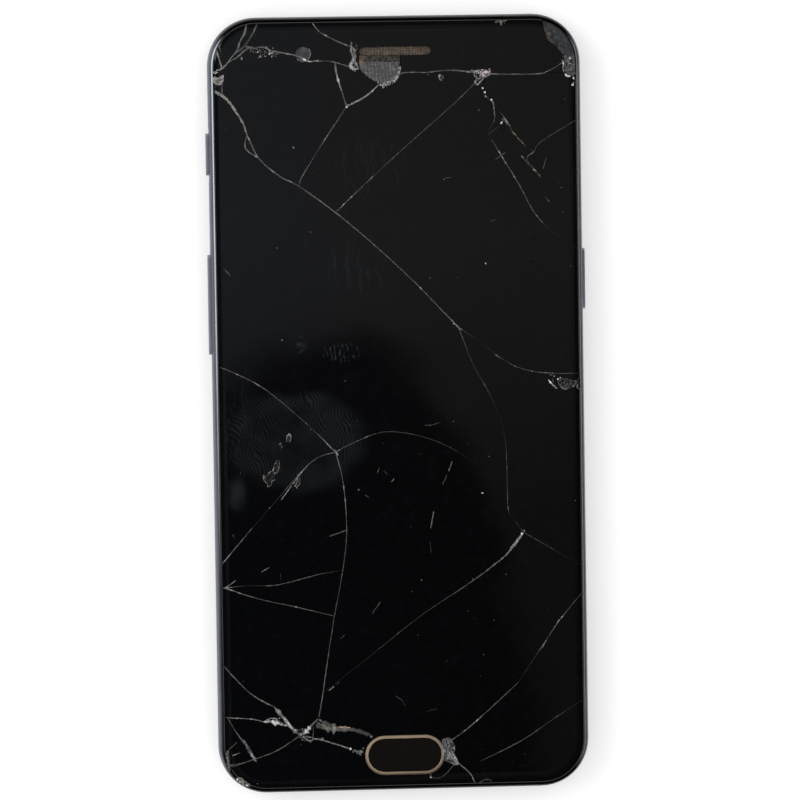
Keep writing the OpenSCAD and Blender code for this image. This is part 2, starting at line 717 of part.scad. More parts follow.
module alert_switch() {
    color([0.6, 0.6, 0.58]) mirror([1, 0, 0])
        block([half_w - power_switch_in - 1.4, slider_y - 5.2, key_z - 1.1],
              [half_w - power_switch_in, slider_y + 5.2, key_z + 1.1]);
}

// ---------------------------------------------------------------- SIM tray
sim_card = [12.3, 8.8];
module sim_tray() {
    tray_x0 = half_w - sim_depth;
    window_x = tray_x0 + 1.4;
    color([0.36, 0.38, 0.44]) difference() {
        union() {
            intersection() {
                outer_body();
                along_x(moved(stadium_points(sim_face_len, sim_face_h), [sim_y, sim_z]),
                        half_w - sim_face_t, half_w + past);
            }
            block([tray_x0, sim_y - sim_plate_w / 2, sim_z - sim_plate_t / 2],
                  [half_w - sim_face_t + 0.2, sim_y + sim_plate_w / 2, sim_z + sim_plate_t / 2]);
        }
        // seat of the card and the window under it
        block([window_x, sim_y - sim_card[1] / 2, sim_z - 0.2],
              [window_x + sim_card[0], sim_y + sim_card[1] / 2, sim_z + past]);
        block([window_x + 1, sim_y - sim_card[1] / 2 + 1, sim_z - past],
              [window_x + sim_card[0] - 1, sim_y + sim_card[1] / 2 - 1, sim_z]);
        translate([half_w - sim_face_t - past, eject_y, sim_z]) rotate([0, 90, 0])
            cylinder(r = eject_r, h = sim_face_t + 2 * past);
    }
}

reader_play = 0.15;
module sim_reader() {
    x0 = half_w - sim_depth - 0.9;
    x1 = half_w - wall_t - pocket_d;
    wide = sim_plate_w / 2 + reader_play;
    z0 = sim_z - sim_plate_t / 2 - reader_play;
    z1 = sim_z + sim_plate_t / 2 + reader_play;
    color([0.7, 0.7, 0.68]) difference() {
        block([x0, sim_y - wide - 0.3, board_top], [x1, sim_y + wide + 0.3, z1 + 0.25]);
        block([x0 + 0.4, sim_y - wide, z0], [x1 + past, sim_y + wide, z1]);
    }
}

// Rod beside the reader that a pin through the tray's face pushes in
module eject_rod() {
    x0 = half_w - sim_depth - 0.2;
    y0 = sim_y + sim_plate_w / 2 + reader_play + 0.5;
    color([0.65, 0.65, 0.63])
        block([x0, y0, sim_z - 0.4], [half_w - wall_t - 0.5, y0 + 0.9, sim_z + 0.4]);
}

// ---------------------------------------------------------------- boards
module screw_holes_in_board() {
    for (p = board_screw_places)
        translate([p[0], p[1], board_z - past]) cylinder(r = 0.8, h = board_t + 2 * past);
}

module main_board() {
    color([0.05, 0.22, 0.16]) difference() {
        union() {
            plate(moved(round_rect_points(2 * board_x, main_y1 - main_y0, board_corner),
                        [0, (main_y0 + main_y1) / 2]), board_z, board_top);
            // flash diode over its lens
            block([-1.2, flash_y - 1.2, back_t + 0.05], [1.2, flash_y + 1.2, board_z + 0.1]);
        }
        block([-7, camera_y - 6, board_z - past], [7, half_l, board_top + past]);
        screw_holes_in_board();
    }
}

module shield_cans() {
    can_z = ledge_z - 1.15;
    color([0.72, 0.72, 0.7]) {
        block([-board_x + 1, main_y0 + 6, board_top], [-12, main_y0 + 24, can_z]);
        block([-board_x + 1, main_y0 + 26, board_top], [-12, half_l - 14, can_z]);
        block([-7, main_y0 + 3, board_top], [7, main_y0 + 19, can_z]);
        block([12, half_l - 24, board_top], [board_x - 1, half_l - 12, can_z]);
    }
}

module lower_board() {
    color([0.05, 0.22, 0.16]) difference() {
        block([-board_x, lower_y0, board_z], [speaker_x0 - 0.6, lower_y1, board_top]);
        block([-jack_x - jack_w / 2 - 0.2, lower_y0 - past, board_z - past],
              [-jack_x + jack_w / 2 + 0.2, -half_l + jack_nose_in + jack_depth + 1.4,
               board_top + past]);
        block([-usb_len / 2 - 0.6, lower_y0 - past, board_z - past],
              [usb_len / 2 + 0.6, -half_l + usb_back_in + 0.2, board_top + past]);
    }
}

module battery() {
    color([0.12, 0.12, 0.13]) {
        plate(moved(round_rect_points(2 * battery_x, battery_y1 - battery_y0 - 3, 1.5),
                    [0, (battery_y0 + battery_y1 - 3) / 2]), back_t + 0.1, battery_z1);
        // protection circuit under its wrap at the upper end
        block([-battery_x + 2, battery_y1 - 3.1, back_t + 0.6],
              [battery_x - 2, battery_y1, battery_z1 - 0.8]);
    }
}

// A flat flex that runs along Y at a height, then drops at its two ends onto connectors
flex_t = 0.12;
flex_drop_z = board_top + 0.8;
module flex_end(x0, x1, y, dir, z1) {
    near = y + dir * flex_t;
    far = y + dir * 4;
    block([x0, min(y, near), flex_drop_z], [x1, max(y, near), z1]);
    block([x0, min(y, far), flex_drop_z], [x1, max(y, far), flex_drop_z + flex_t]);
    block([x0 + 0.5, min(y + dir * 1.6, far), board_top],
          [x1 - 0.5, max(y + dir * 1.6, far), flex_drop_z + eps]);
}

module battery_flex() {
    y = battery_y1 + 0.4;
    color([0.45, 0.25, 0.1]) {
        block([-18, battery_y1 - 5, battery_z1], [-12, y + flex_t, battery_z1 + flex_t]);
        flex_end(-18, -12, y, 1, battery_z1 + flex_t);
    }
}

module main_flex() {
    z = battery_z1 + 0.14;
    y0 = battery_y0 - 0.6;
    y1 = battery_y1 + 0.4;
    color([0.45, 0.25, 0.1]) {
        block([-4, y0 - flex_t, z], [4, y1 + flex_t, z + flex_t]);
        flex_end(-4, 4, y1, 1, z + flex_t);
        flex_end(-4, 4, y0, -1, z + flex_t);
    }
}

module display_flex() {
    color([0.45, 0.25, 0.1]) {
        block([flex_slot[0], flex_slot_y, plate_z],
              [flex_slot[1], flex_slot_y + 4, plate_z + screen_play]);
        flex_end(flex_slot[0], flex_slot[1], flex_slot_y, 1, plate_z + screen_play);
    }
}

coax_r = 0.35;
module coax_cable() {
    x = battery_x + 0.75;
    z = board_top + coax_r + 0.05;
    y0 = lower_y1 - 1;
    y1 = main_y0 + 5.5;
    color([0.1, 0.1, 0.1]) {
        rod_y(coax_r, x, z, y0, y1);
        translate([x, y1, board_top]) cylinder(r = 1, h = 1);
        translate([x, y0, board_top]) cylinder(r = 1, h = 1);
        // lead from the lower plug to the edge of the lower board
        translate([x, y0, z]) rotate([0, -90, 0]) cylinder(r = coax_r, h = 3);
    }
}

// ---------------------------------------------------------------- bottom edge parts
module usb_socket() {
    len = usb_len + 2 * usb_shell_t;
    high = usb_h + 2 * usb_shell_t;
    y0 = -half_l + usb_front_in;
    y1 = -half_l + usb_back_in;
    color([0.62, 0.62, 0.62]) {
        difference() {
            along_y(moved(stadium_points(len, high), [0, port_z]), y0, y1);
            along_y(moved(stadium_points(usb_len, usb_h), [0, port_z]), y0 - past, y1 - 0.8);
        }
        // tongue with its contacts
        block([-3.3, y0 + 0.9, port_z - 0.35], [3.3, y1 - 0.4, port_z + 0.35]);
    }
}

jack_w = 6;
jack_top = port_z + jack_r + 0.3;
module headphone_jack() {
    y0 = -half_l + jack_nose_in;
    color([0.1, 0.1, 0.1]) difference() {
        union() {
            rod_y(jack_nose_r, -jack_x, port_z, y0, -half_l + jack_body_in + 1);
            block([-jack_x - jack_w / 2, -half_l + jack_body_in, port_z - jack_r - 0.3],
                  [-jack_x + jack_w / 2, y0 + jack_depth + 1, jack_top]);
        }
        rod_y(jack_r, -jack_x, port_z, y0 - past, y0 + jack_depth);
    }
}

speaker_up = 4.6;
speaker_y0 = -half_l + speaker_up;
speaker_z = 1.5;
speaker_end = min(speaker_x1, battery_x, room_x(speaker_up, speaker_z) - 0.25);
speaker_y1 = -half_l + 19.6;
module loudspeaker() {
    color([0.15, 0.15, 0.16]) {
        block([speaker_x0, speaker_y0, speaker_z], [speaker_end, speaker_y1, ledge_z - 0.2]);
        // nozzle to the grille
        block([nozzle_x[0], -half_l + 3.5, port_z - nozzle_h / 2],
              [nozzle_x[1], speaker_y0 + eps, port_z + nozzle_h / 2]);
    }
}

module speaker_mesh() {
    color([0.25, 0.25, 0.25])
        block([nozzle_x[0], -half_l + 3.3, port_z - nozzle_h / 2],
              [nozzle_x[1], -half_l + 3.5, port_z + nozzle_h / 2]);
}

module microphone() {
    color([0.75, 0.7, 0.5])
        block([mic_x - 1.6, lower_y0 + 0.1, board_top], [mic_x + 1.6, lower_y0 + 2.6, board_top + 1]);
}

motor_r = 4.2;
module vibration_motor() {
    color([0.7, 0.7, 0.7])
        translate([battery_x - motor_r - 1.3, lower_y1 - motor_r, 1.2]) cylinder(r = motor_r, h = 3);
}

module bottom_screws() {
    color([0.3, 0.3, 0.32]) for (s = [-1, 1]) difference() {
        union() {
            rod_y(0.9, s * bottom_screw_x, port_z, -half_l + bottom_head_in,
                  -half_l + bottom_head_in + 0.55);
            rod_y(screw_r, s * bottom_screw_x, port_z, -half_l + bottom_head_in + 0.5,
                  tab_y0 + tab_t - 0.2);
        }
        // socket of the driver
        translate([s * bottom_screw_x, -half_l + bottom_head_in + 0.3, port_z]) rotate([90, 0, 0])
            cylinder(r = 0.45, h = 1, $fn = 6);
    }
}

// ---------------------------------------------------------------- upper inside parts
bracket_z = ledge_z - 0.9;
bracket_t = 0.5;
bracket_y0 = half_l - 21;
module antenna_bracket() {
    color([0.1, 0.1, 0.1]) difference() {
        plate(moved(round_rect_points(2 * board_x - 2, main_y1 - bracket_y0 - 0.5, board_corner),
                    [0, (main_y1 - 0.5 + bracket_y0) / 2]), bracket_z, bracket_z + bracket_t);
        block([-front_camera_x - 3.5, ear_y - 3.5, bracket_z - past],
              [-front_camera_x + 3.5, half_l, bracket_z + past]);
        block([-6.6, ear_y - 2.8, bracket_z - past], [6.6, half_l, bracket_z + past]);
        block([prox_x - 2.2, ear_y - 1.2, bracket_z - past],
              [prox_x + 2.2, ear_y + 1.2, bracket_z + past]);
        translate([led_x, ear_y, bracket_z - past]) cylinder(r = 0.95, h = 3);
        for (p = board_screw_places)
            if (p[2]) translate([p[0], p[1], bracket_z - past]) cylinder(r = 0.8, h = 3);
    }
}

module board_screws() {
    color([0.75, 0.75, 0.73]) for (p = board_screw_places) {
        seat_z = p[2] ? bracket_z + bracket_t : board_top;
        translate([p[0], p[1], 0.6]) cylinder(r = screw_r, h = seat_z - 0.6 + 0.1);
        translate([p[0], p[1], seat_z]) cylinder(r = screw_head_r, h = 0.3);
    }
}

module heat_spreader() {
    color([0.2, 0.2, 0.21])
        block([-battery_x + 3, battery_y0 + 6, ledge_z - 0.12],
              [battery_x - 3, bracket_y0 - 3, ledge_z - 0.02]);
}

camera_ring_t = 0.9;
module rear_camera_bezel() {
    color([0.3, 0.31, 0.35]) difference() {
        translate([0, camera_y, 0]) cylinder(r = camera_r, h = back_t);
        translate([0, camera_y, -past]) cylinder(r = camera_r - camera_ring_t, h = 3);
    }
}

module rear_camera_window() {
    color([0.05, 0.06, 0.1])
        translate([0, camera_y, 0.05]) cylinder(r = camera_r - camera_ring_t - 0.03, h = 0.5);
}

module rear_camera_module() {
    color([0.1, 0.1, 0.11]) {
        block([-4.7, camera_y - 4.7, back_t + 0.7], [4.7, camera_y + 4.7, bracket_z - 0.05]);
        translate([0, camera_y, 0.6]) cylinder(r = 3.2, h = 1.5);
    }
}

module flash_lens() {
    color([0.9, 0.88, 0.75])
        translate([0, flash_y, 0]) cylinder(r = 2, h = back_t);
}

cover_glass();
display_panel();
display_gasket();
mid_frame();
earpiece_mesh();
home_ring();
home_cap();
fingerprint_sensor();
front_camera();
proximity_sensor();
status_led();
earpiece_speaker();
alert_slider();
volume_rocker();
power_button();
sim_tray();
alert_switch();
volume_switches();
power_switch();
main_board();
shield_cans();
sim_reader();
eject_rod();
battery();
battery_flex();
lower_board();
usb_socket();
headphone_jack();
loudspeaker();
speaker_mesh();
microphone();
vibration_motor();
main_flex();
display_flex();
coax_cable();
antenna_bracket();
heat_spreader();
board_screws();
bottom_screws();
rear_housing();
antenna_band_top();
antenna_band_bottom();
rear_camera_module();
rear_camera_bezel();
rear_camera_window();
flash_lens();
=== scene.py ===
"""Looks of a slim phone with a shattered cover glass, lying on its back."""

import math
import random

import bmesh
import bpy
from mathutils import Matrix, Vector
from mathutils.geometry import delaunay_2d_cdt


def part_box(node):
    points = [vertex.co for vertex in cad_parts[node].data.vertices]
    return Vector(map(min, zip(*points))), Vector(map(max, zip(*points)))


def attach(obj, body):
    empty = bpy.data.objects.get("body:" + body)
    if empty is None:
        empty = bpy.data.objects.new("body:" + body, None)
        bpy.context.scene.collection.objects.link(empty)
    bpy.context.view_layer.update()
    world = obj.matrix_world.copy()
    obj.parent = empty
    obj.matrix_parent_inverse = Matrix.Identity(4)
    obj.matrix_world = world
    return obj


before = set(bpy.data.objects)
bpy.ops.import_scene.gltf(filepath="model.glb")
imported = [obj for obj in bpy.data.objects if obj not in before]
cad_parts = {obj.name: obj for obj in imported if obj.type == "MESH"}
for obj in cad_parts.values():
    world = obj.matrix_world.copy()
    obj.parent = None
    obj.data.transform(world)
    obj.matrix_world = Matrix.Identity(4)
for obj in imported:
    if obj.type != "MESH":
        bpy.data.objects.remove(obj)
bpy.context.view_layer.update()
random.seed(11)

MM = 0.001
HALF_X, HALF_Y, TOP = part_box("cover_glass")[1]
GLASS_CORNER = 8.54 * MM     # corner radius of the glass seen from the front
EDGE_WIDTH = 2.2 * MM        # curved edge of the glass
EDGE_HEIGHT = 0.4 * MM


def on_glass(x, y):
    """A point given in percent of the glass's half width and half length."""
    return Vector((x * HALF_X / 100, y * HALF_Y / 100))


# ------------------------------------------------------------------ camera, light and floor
VIEW_WIDTH = 158.95 * MM     # what the square picture spans at the height of the glass
DISTANCE = 1.1
YAW = math.radians(4.4)      # the camera stands a little to the left of the phone
PITCH = math.radians(3.6)    # and a little beyond its top
ROLL = math.radians(0.85)
AIM = Vector((0.12 * MM, 0.89 * MM, 6 * MM))
BACK = Vector((-math.sin(YAW), math.sin(PITCH), math.cos(YAW))).normalized()
EYE = AIM + BACK * DISTANCE
SENSOR = 36.0


def add_object(name, data):
    made = bpy.data.objects.new(name, data)
    bpy.context.scene.collection.objects.link(made)
    return made


def make_camera():
    camera = add_object("camera", bpy.data.cameras.new("camera"))
    up = Vector((math.sin(ROLL), math.cos(ROLL), 0))
    right = up.cross(BACK).normalized()
    turn = Matrix((right, BACK.cross(right), BACK)).transposed().to_4x4()
    camera.matrix_world = Matrix.Translation(EYE) @ turn
    camera.data.sensor_width = SENSOR
    camera.data.lens = SENSOR * DISTANCE / VIEW_WIDTH
    camera.data.clip_start = 0.01
    bpy.context.scene.camera = camera


class Nodes:
    """The nodes of a material or world, with short calls for those used here. Lengths in them
    are millimetres."""

    def __init__(self, owner):
        owner.use_nodes = True
        self.tree = owner.node_tree
        self.tree.nodes.clear()

    def add(self, kind, inputs=None, **settings):
        node = self.tree.nodes.new("ShaderNode" + kind)
        for key, value in settings.items():
            setattr(node, key, value)
        for key, value in (inputs or {}).items():
            self.feed(node.inputs[key], value)
        return node

    def feed(self, socket, value):
        if isinstance(value, bpy.types.NodeSocket):
            self.tree.links.new(value, socket)
        else:
            socket.default_value = value

    def put(self, shader, **sockets):
        """Feeds a shader's sockets, which are named with _ for a space."""
        for name, value in sockets.items():
            self.feed(shader.inputs[name.replace("_", " ")], value)

    def place(self):
        metres = self.add("TexCoord").outputs["Object"]
        return self.add("VectorMath", {0: metres, "Scale": 1 / MM}, operation="SCALE").outputs[0]

    def split(self, vector):
        return list(self.add("SeparateXYZ", {0: vector}).outputs)

    def math(self, operation, *values, clamp=False):
        """Takes in the values from left to right, two at a time."""
        if len(values) > 2:
            values = self.math(operation, *values[:-1]), values[-1]
        node = self.add("Math", dict(enumerate(values)), operation=operation, use_clamp=clamp)
        return node.outputs[0]

    def times(self, *values):
        return self.math("MULTIPLY", *values)

    def most(self, *values):
        return self.math("MAXIMUM", *values)

    def vector(self, operation, a, b):
        node = self.add("VectorMath", {0: a, 1: b}, operation=operation)
        return node.outputs["Value" if operation == "LENGTH" else "Vector"]

    def spot(self, place, centre, radii, inner=0.5):
        """1 inside a soft ellipse, 0 outside it."""
        away = self.vector("MULTIPLY", self.vector("SUBTRACT", place, (*centre, 0)),
                           (1 / radii[0], 1 / radii[1], 0))
        inputs = {"Value": self.vector("LENGTH", away, (0, 0, 0)), "From Min": 1.0,
                  "From Max": inner}
        return self.add("MapRange", inputs, interpolation_type="SMOOTHSTEP").outputs["Result"]

    def fit(self, value, low, high, to_low=0.0, to_high=1.0):
        inputs = {"Value": value, "From Min": low, "From Max": high,
                  "To Min": to_low, "To Max": to_high}
        return self.add("MapRange", inputs).outputs["Result"]

    def seen(self):
        """1 for what the camera sees, straight, mirrored or through glass."""
        rays = self.add("LightPath").outputs
        return self.math("ADD", rays["Is Camera Ray"], rays["Is Glossy Ray"],
                         rays["Is Transmission Ray"], clamp=True)

    def noise(self, place, scale, detail=3.0, stretch=(1, 1, 1), roughness=0.55):
        inputs = {"Vector": self.vector("MULTIPLY", place, stretch), "Scale": scale,
                  "Detail": detail, "Roughness": roughness}
        return self.add("TexNoise", inputs).outputs["Fac"]

    def wave(self, place, period, distortion=0.0, **settings):
        """Bands along an axis, or rings, that lie a period apart."""
        inputs = {"Vector": place, "Scale": math.tau / 20 / period, "Distortion": distortion,
                  "Detail": 2.0}
        return self.add("TexWave", inputs, **settings).outputs["Fac"]

    def mix(self, factor, a, b):
        a, b = (v if isinstance(v, bpy.types.NodeSocket) else (*v, 1) for v in (a, b))
        return self.add("Mix", {"Factor": factor, 6: a, 7: b}, data_type="RGBA").outputs[2]

    def bump(self, height, depth, onto=None):
        inputs = {"Height": height, "Distance": depth * MM, "Strength": 1.0}
        if onto is not None:
            inputs["Normal"] = onto
        return self.add("Bump", inputs).outputs["Normal"]


def new_material(name, **sockets):
    """A material with one Principled shader."""
    material = bpy.data.materials.new(name)
    n = Nodes(material)
    shader = n.add("BsdfPrincipled")
    n.add("OutputMaterial", {"Surface": shader.outputs["BSDF"]})
    n.put(shader, **sockets)
    return material, n, shader


def make_world():
    """White all round, and a little weaker as a light than as it looks."""
    world = bpy.data.worlds.new("studio")
    bpy.context.scene.world = world
    n = Nodes(world)
    white = n.add("Background", {"Color": (1, 1, 1, 1), "Strength": n.fit(n.seen(), 0, 1, 0.85, 1)})
    n.add("OutputWorld", {"Surface": white.outputs[0]})


def plane(name, size, material):
    mesh = bpy.data.meshes.new(name)
    r = size / 2
    mesh.from_pydata([(-r, -r, 0), (r, -r, 0), (r, r, 0), (-r, r, 0)], [], [(0, 1, 2, 3)])
    mesh.materials.append(material)
    made = add_object(name, mesh)
    return made


FLOOR_GAP = 0.02 * MM        # the floor lies this far under the phone's flat back
TOUCH = 15 * FLOOR_GAP       # rays shorter than this come from the back itself
FLOOR_GLOW = 0.3             # lifts the lit floor to the white of the background
DARK_FLOOR, PALE_FLOOR = (0.84, 0.84, 0.84), (0.87, 0.87, 0.87)


def make_floor():
    """A white floor that keeps the shadow of the phone and is clear from below, so that views
    from there show the phone's back, lit as if nothing lay under it."""
    material, n, shader = new_material("floor", Roughness=0.9, Specular_IOR_Level=0.1,
                                       Emission_Color=(1, 1, 1, 1))
    n.put(shader, Base_Color=n.mix(n.noise(n.place(), 0.02), DARK_FLOOR, PALE_FLOOR),
          Emission_Strength=n.times(n.seen(), FLOOR_GLOW))
    below = n.add("NewGeometry").outputs["Backfacing"]
    touching = n.math("LESS_THAN", n.add("LightPath").outputs["Ray Length"], TOUCH)
    clear = n.add("MixShader", {0: n.most(below, touching), 1: shader.outputs[0],
                                2: n.add("BsdfTransparent").outputs[0]})
    n.feed(n.tree.nodes["Material Output"].inputs["Surface"], clear.outputs[0])
    plane("floor", 4, material).location.z = -FLOOR_GAP


CEILING = 1.5                # height of the card that the glass mirrors


def mirrored(x, y):
    """Where the glass at a point, given in percent, shows the card."""
    p = on_glass(x, y)
    eye = Vector((EYE.x, EYE.y))
    return p + (p - eye) * (CEILING - TOP) / (EYE.z - TOP)


def make_ceiling():
    """A card over the phone that only reflections see: grey, darker towards the lower left."""
    material = bpy.data.materials.new("ceiling")
    n = Nodes(material)
    place = n.add("TexCoord").outputs["Object"]
    x, y, z = n.split(place)
    across, along = mirrored(103, 0) - mirrored(0, 0), mirrored(0, 79) - mirrored(0, 0)
    dark = n.spot(place, mirrored(-38, -54), (across.x, along.y), inner=0.82)
    low_left = n.spot(place, mirrored(-170, -85), (2.6 * across.x, 1.25 * along.y), inner=0.85)
    dark = n.most(dark, low_left)
    upwards = n.fit(y, mirrored(0, -30).y, mirrored(0, 45).y, 0.09, 0.23)
    sideways = n.fit(x, mirrored(-100, 0).x, mirrored(100, 0).x, 1.15, 0.85)
    patchy = n.fit(n.noise(place, 3.0, detail=1.0), 0.3, 0.7, 0.9, 1.1)
    # away from what the glass mirrors the card is nearly black, so that the rims stay dark
    lit = n.spot(place, mirrored(-100, 0), (0.6, 0.6), inner=0.6)
    level = n.times(upwards, sideways, patchy, n.fit(dark, 0, 1, 1, 0.2),
                   n.fit(lit, 0, 1, 0.25, 1))
    # a light strip that only the polished rim on the right shows
    strip = n.spot(place, (2.36, 0), (0.4, 2.4), inner=0.5)
    level = n.math("ADD", level, n.times(strip, 0.8))
    warm = n.fit(x, mirrored(-80, 0).x, mirrored(80, 0).x)
    colour = n.mix(warm, (0.93, 0.98, 1.05), (1.03, 0.98, 0.9))
    glow = n.add("Emission", {"Color": colour, "Strength": level})
    n.add("OutputMaterial", {"Surface": glow.outputs[0]})
    card = plane("ceiling", 16, material)
    card.location.z = CEILING
    for rays in ("camera", "diffuse", "transmission", "shadow"):
        setattr(card, "visible_" + rays, False)


def make_lamp(name, energy, size, spot):
    """A softbox that points at the phone."""
    lamp = bpy.data.lights.new(name, "AREA")
    lamp.energy = energy
    lamp.shape = "RECTANGLE"
    lamp.size, lamp.size_y = size
    made = add_object(name, lamp)
    made.location = spot
    made.rotation_euler = (-Vector(spot)).to_track_quat("-Z", "Y").to_euler()


bpy.context.scene.view_settings.view_transform = "Standard"
make_camera()
make_world()
make_floor()
make_ceiling()
make_lamp("left softbox", 11, (1.2, 1.4), (-1.3, 0.47, 0.75))


# ------------------------------------------------------------------ shapes on the glass
def edge_distance(p):
    """How far a point lies inside the outline of the glass."""
    qx = abs(p.x) - (HALF_X - GLASS_CORNER)
    qy = abs(p.y) - (HALF_Y - GLASS_CORNER)
    outside = math.hypot(max(qx, 0), max(qy, 0)) + min(max(qx, qy), 0)
    return GLASS_CORNER - outside


def glass_height(p):
    """Height of the face of the glass, which curves down along its edge."""
    d = min(max(edge_distance(p), 0), EDGE_WIDTH)
    return TOP - EDGE_HEIGHT + EDGE_HEIGHT * math.sqrt(1 - (1 - d / EDGE_WIDTH) ** 2)


def curve_point(a, b, c, d, t):
    """A point between b and c on a smooth curve through a, b, c and d."""
    return (b + (c - a) * t / 2 + (2 * a - 5 * b + 4 * c - d) * t * t / 2
            + (3 * b - a - 3 * c + d) * t ** 3 / 2)


CRACK_STEPS = 3              # curve points for each row of a crack
STATION = 0.45 * MM          # distance between the stations of a crack line
STROKE_STATION = 0.3 * MM
TONE_RUN = 5                 # stations over which a line changes its tone
SUNK = 0.004 * MM            # the sides of a line lie this far under the face of the glass
ROOT = 0.06 * MM             # and its lower edge, or the bottom of a patch, this far
GLASS_MARGIN = 0.04 * MM     # lines end this far inside the outline of the glass
END_WIDTH = 0.3              # a line's width at its ends, as a part of the rest
NODE_WIDTH, NODE_SHADE = 1.4, 1.45   # how much wider and brighter a line's nodes are
HATCH = 9                    # how dense the hatching is on a hatched patch
WEB_KEPT = 0.65              # how much of a net of fine cracks is there
WOBBLE = 0.2                 # how far a border point of a patch strays, as a part of a cell


def crack_stations(rows):
    """Points along a crack as (place, width in mm, shade), from rows (x, y, width, shade)."""
    points = [on_glass(r[0], r[1]) for r in rows]
    coarse = []
    for i in range(len(rows) - 1):
        a, d = points[max(i - 1, 0)], points[min(i + 2, len(rows) - 1)]
        for j in range(CRACK_STEPS):
            t = j / CRACK_STEPS
            look = [rows[i][k] * (1 - t) + rows[i + 1][k] * t for k in (2, 3)]
            coarse.append((curve_point(a, points[i], points[i + 1], d, t), *look))
    coarse.append((points[-1], *rows[-1][2:4]))
    fine = []
    for (p, w, s), (q, v, u) in zip(coarse, coarse[1:]):
        count = max(1, round((q - p).length / STATION))
        for j in range(count):
            t = j / count
            fine.append((p.lerp(q, t), w + (v - w) * t, s + (u - s) * t))
    fine.append(coarse[-1])
    return fine


GREY = (1, 1, 1)
CREAM = (1, 0.96, 0.88)
PINK = (1, 0.86, 0.86)
BLUE = (0.88, 0.96, 1)
ORANGE = (1, 0.72, 0.5)
YELLOW = (1, 0.9, 0.55)
BROWN = (1, 0.85, 0.72)
VIOLET = (0.97, 0.96, 1)


def display_colour(shade, tint):
    """The linear colour of a grey given as it shows, from 0 to 1."""
    return [max(0.0, min(shade, 1.0)) ** 2.2 * t for t in tint]


def sides_of(outline):
    """The sides of a closed outline, as pairs of its points."""
    return zip(outline, outline[1:] + outline[:1])


